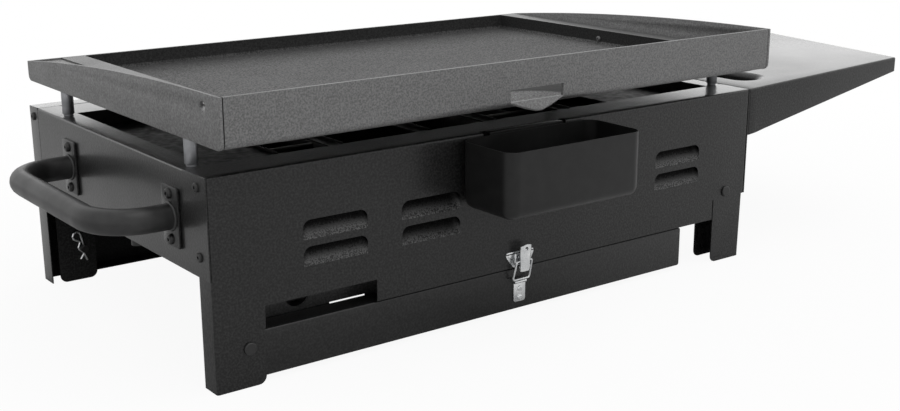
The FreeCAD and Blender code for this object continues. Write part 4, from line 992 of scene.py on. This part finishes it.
# each pass scales the colour: painted shade by the front wall, a ring of painted shade round the slot,
# painted light in its middle
for measured, ends in ((along(cooking_steel, "Y"), {"From Min": -0.245, "From Max": -0.14, "To Min": 0.45}),
                       (from_slot.outputs["Value"], {"From Min": 0.085, "From Max": 0.14, "To Min": 0.1}),
                       (from_slot.outputs["Value"], {"From Min": 0.050, "From Max": 0.062, "To Min": 13.0})):
    painted_shade_and_light = add_node(cooking_steel, "ShaderNodeMapRange", {**ends, "interpolation_type": "SMOOTHSTEP"},
                   {"Value": measured})
    shade_by(cooking_steel, cooking_shader, painted_shade_and_light.outputs["Result"])
# the spout's steel is a little lighter than the plate; the well's walls are dark with painted shade, the
# shade that falls inside the well
spout_steel = bare_plate("spout steel, lighter than the plate", "#707070", "#8c8c8c", 0.55, 0.3, 0.3)
shaded_well_wall_steel = bare_plate("well wall steel darkened with painted shade", "#222222", "#363636", 0.70, 0.0, 0.2)
plate_half, plate_front, plate_rear = 352.1, -218.3, 243.7
plate_low, trough_rim, shield_top, ledge_low = 233.6, 255.4, 281.0, 250.4
plate_sheet, plate_fold = 3.4, 7.0
well_ends, well_y = (-326, 290), (plate_front + plate_sheet, plate_rear - plate_sheet)
tub = block(-plate_half, plate_half, plate_front, plate_rear, plate_low, shield_top)
round_off(tub, plate_fold, lambda at, edge: near(at.z, plate_low) and near(run(edge, "y"), 0), 7)
well = block(*well_ends, *well_y, plate_low + plate_sheet, 300)
round_off(well, 3.6, lambda at, edge: at.z < 299)
cut_away(tub, well, block(-360, 360, -225, well_y[1], trough_rim, 300),
         block(317, 360, *well_y, 253.8, 256.5),
         block(-360, well_ends[0] - plate_sheet, *well_y, 230, ledge_low),
         block(well_ends[1] + plate_sheet, 360, *well_y, 230, ledge_low), block(-35, 35, 239, 246, 238, 252),
         block(351.2, 353, 241.0, 246, 225, 290), block(-353, -351.2, 241.0, 246, 225, 290))
soften(tub, 0.7, 2, 40)


def circle_through(one, two, three):
    # the middle and the radius of the circle through three points
    crossed = 2 * (one.x * (two.y - three.y) + two.x * (three.y - one.y) + three.x * (one.y - two.y))
    first, second, third = (point.x ** 2 + point.y ** 2 for point in (one, two, three))
    middle_x = (first * (two.y - three.y) + second * (three.y - one.y) + third * (one.y - two.y)) / crossed
    middle_y = (first * (three.x - two.x) + second * (one.x - three.x) + third * (two.x - one.x)) / crossed
    return middle_x, middle_y, math.hypot(one.x - middle_x, one.y - middle_y)


# a shield's upper edge is an arc through its front end, a raised middle and its rear end
crown = Vector(((plate_front + plate_rear) / 2, shield_top - (shield_top - trough_rim) / 4))
arc_y, arc_z, arc_radius = circle_through(Vector((plate_front, trough_rim)), crown,
                                          Vector((plate_rear, shield_top)))
shield_arc = []
for step in range(33):
    y = plate_front + (plate_rear - plate_front) * step / 32
    shield_arc.append((y, arc_z + math.sqrt(arc_radius ** 2 - (y - arc_y) ** 2)))
shield_low = [(plate_rear - plate_fold + plate_fold * math.sin(turn),
               plate_low + plate_fold - plate_fold * math.cos(turn))
              for turn in [math.pi / 2 * (1 - step / 7) for step in range(8)]]
shield_low += [(plate_front + plate_fold - plate_fold * math.sin(turn),
                plate_low + plate_fold - plate_fold * math.cos(turn))
               for turn in [math.pi / 2 * step / 7 for step in range(8)]]
shields = []
for side in (1, -1):
    shield = faced([(side * plate_half, y, z) for y, z in shield_arc + shield_low])
    work_on(shield)
    extrude(side * plate_sheet, 0, 0)
    face_out()
    leave_work()
    cut_away(shield, rod(5.0, (side * 350, 212.2, 268.5), (side * 358, 212.2, 268.5), 40))
    shields.append(soften(shield, 0.6, 2, 40))

# the spout runs outwards and down from the slot to a blunt point, with a second layer behind it
spout_half, spout_top, spout_out, spout_down = 34.8, 239.5, 4.3, 10.2
spout_lip = block(-spout_half, spout_half, 240.0, 243.9, 238.0, spout_top)
spout = faced([(x, plate_rear + spout_out * part, spout_top - spout_down * part) for x, part in (
    (spout_half, 0), (33.0, 0.12), (18.0, 0.63), (4.0, 1), (-4.0, 1), (-18.0, 0.63), (-33.0, 0.12),
    (-spout_half, 0))])
work_on(spout)
extrude(0, -1.4, -0.52)
face_out()
leave_work()
soften(spout, 0.4, 2, 40)
spout_back = shift(copy_of(spout), 0, -1.2, -1.2)
griddle = seat(merge(tub, *shields, spout_lip, spout, spout_back), "griddle_plate_welded", griddle_steel)
for steel in (cooking_steel, shaded_well_wall_steel, spout_steel):
    griddle.data.materials.append(steel)
# slot 3 goes to the faces of the spout, 1 to the well's floor and 2 to its walls
for face in griddle.data.polygons:
    x, y, z = in_body(face)
    if y > 239.9 and abs(x) < 35.1 and z < 239.6 and (y > 243.8 or face.normal.z > 0.5):
        face.material_index = 3
    elif -326.5 < x < 290.5 and -215.2 < y < 240.5 and 236.5 < z < 280.5:
        if z < 241:
            face.material_index = 1
        elif abs(face.normal.z) < 0.5:
            face.material_index = 2
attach(griddle, "griddle")
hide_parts("griddle_plate")

# posts under the plate, and the small bolt in the well's end wall
# dull zinc over turned steel: mid grey
post_steel = drawn_metal("turned and zinc dulled post", "#6f7072", "#96979a", 0.42)
posts = []
for side in (1, -1):
    for y in post_ys:
        x = side * post_x
        posts.append(soften(rod(6.35, (x, y, 208.3), (x, y, plate_low), 40), 0.7, 3, 40))
        posts.append(rod(5.2, (x, y, 206.2), (x, y, 209.0), 32))
        posts.append(rod(5.0, (x, y, 233.0), (x, y, ledge_low), 32))
        posts.append(soften(rod(3.0, (x, y, 200.3), (x, y, 207.0), 24), 0.6, 2, 40))
posts = seat(merge(*posts), "griddle_post_set", post_steel)
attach(posts, "griddle")
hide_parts("griddle_posts")
stop = button_head(3.6, 2.6, 1.5, 0.96)
facing_x(stop, 1, -326.0, -12.0, 244.0)
stop = seat(stop, "well_stop_button", griddle_steel)
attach(stop, "griddle")
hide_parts("well_stop_bolt")

# Grease cup: a deep drawn tin with rounded corners and a rounded bottom, hung by a folded hook in the
# rear panel's notch. Smooth satin black paint.
cup_paint = satin_black("satin black paint on drawn cup", ("#181818", "#1e1e1e"), 0.36, 0.3)
cup = block(-99.5, 79.5, 218, 298, 134, 203)
work_on(cup)
bend(14.0, lambda at, edge: run(edge, "z") > 60, 8)
bend(11.0, lambda at, edge: near(at.z, 134), 6)
pick("FACE", lambda at, face: near(at.z, 203) and face.normal.z > 0.9)
bpy.ops.mesh.delete(type="FACE")
leave_work()
thicken(cup, 1.0)
hook_ends = (-58, 41)
tongue = block(*hook_ends, 209.4, 218.6, 204.7, 205.9)
drop = block(*hook_ends, 209.4, 210.6, 192.0, 205.2)
riser = block(*hook_ends, 217.4, 218.6, 198.0, 205.2)
cup = seat(merge(cup, soften(tongue, 0.4, 2, 40), soften(drop, 0.3, 2, 40), riser), "grease_cup_drawn",
           cup_paint, 40)
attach(cup, "cup")
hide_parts("grease_cup")

# Studio: a plain pale floor, almost plain white to the camera, so that only a trace of the shadow is left.
# Two soft lamps, and the camera at the picture's angle.
floor_paint, floor_shader = new_finish("plain matt studio floor",
                                       {"Roughness": 0.9, "Specular IOR Level": 0.1,
                                        "Base Color": linear("#fafafa")})
clear_selection()
bpy.ops.mesh.primitive_plane_add(size=1, location=(0, 0, 0))
floor = bpy.context.object
floor.scale = (14.0, 14.0, 1)
settle()
floor.name = "studio_floor"
floor.data.materials.append(floor_paint)
tree = floor_paint.node_tree
where = add_node(floor_paint, "ShaderNodeTexCoord")
distance = add_node(floor_paint, "ShaderNodeVectorMath", {"operation": "LENGTH"},
                    {0: where.outputs["Object"]})
fade = add_node(floor_paint, "ShaderNodeMapRange",
                {"From Min": 0.35, "From Max": 1.3, "To Min": 0.93, "interpolation_type": "SMOOTHSTEP"},
                {"Value": distance.outputs["Value"]})
seen = add_node(floor_paint, "ShaderNodeLightPath")
seen_far = add_node(floor_paint, "ShaderNodeMath", {"operation": "MULTIPLY"},
                    {0: fade.outputs["Result"], 1: seen.outputs["Is Camera Ray"]})
white = add_node(floor_paint, "ShaderNodeEmission", {"Color": (1, 1, 1, 1), "Strength": 1.0})
mix = add_node(floor_paint, "ShaderNodeMixShader", {}, {0: seen_far.outputs["Value"],
                                                        1: floor_shader.outputs["BSDF"],
                                                        2: white.outputs["Emission"]})
tree.links.new(mix.outputs["Shader"], tree.nodes["Material Output"].inputs["Surface"])

world = bpy.data.worlds.new("studio")
bpy.context.scene.world = world
world.use_nodes = True
rays = add_node(world, "ShaderNodeLightPath")
sharp = add_node(world, "ShaderNodeMath", {"operation": "MAXIMUM"},
                 {0: rays.outputs["Is Glossy Ray"], 1: rays.outputs["Is Transmission Ray"]})
strongest = add_node(world, "ShaderNodeMath", {"operation": "MAXIMUM"},
                     {0: rays.outputs["Is Camera Ray"], 1: sharp.outputs[0]})
level = add_node(world, "ShaderNodeMapRange", {"To Min": 0.5, "To Max": 1.0}, {"Value": strongest.outputs[0]})
background = world.node_tree.nodes["Background"]
world.node_tree.links.new(level.outputs["Result"], background.inputs["Strength"])
background.inputs["Color"].default_value = (1, 1, 1, 1)


def soft_lamp(name, place, target, width, height, power):
    lamp = bpy.data.lights.new(name, "AREA")
    lamp.shape = "RECTANGLE"
    lamp.size, lamp.size_y = width, height
    lamp.energy = power
    holder = bpy.data.objects.new(name, lamp)
    bpy.context.collection.objects.link(holder)
    holder.location = place
    holder.rotation_euler = (Vector(target) - Vector(place)).to_track_quat("-Z", "Y").to_euler()


soft_lamp("overhead softbox", (-0.7, 0.9, 2.5), (0, 0, 0), 3.0, 2.4, 29.0)
soft_lamp("wide strip behind", (-2.4, -2.1, 0.95), (0, 0, 0.2), 6.0, 1.6, 17.0)

lens = bpy.data.cameras.new("camera")
lens.sensor_fit = "HORIZONTAL"
lens.sensor_width = 36.0
lens.lens = 52.127
# in pixels: the photograph's size, and the point in it that the camera looks straight at
photo_wide, photo_tall = 900.0, 411.0
aim_x, aim_y = 447.82, 223.155
lens.shift_x = (photo_wide / 2 - aim_x) / photo_wide
lens.shift_y = (aim_y - photo_tall / 2) / photo_wide
lens.clip_start, lens.clip_end = 0.05, 50.0
camera = bpy.data.objects.new("camera", lens)
bpy.context.collection.objects.link(camera)
camera.location = (0.99219, 1.19820, 0.48234)
camera.rotation_euler = [math.radians(v) for v in (73.9773, 0.1601, 142.9999)]
bpy.context.scene.camera = camera
bpy.context.scene.view_settings.view_transform = "Standard"
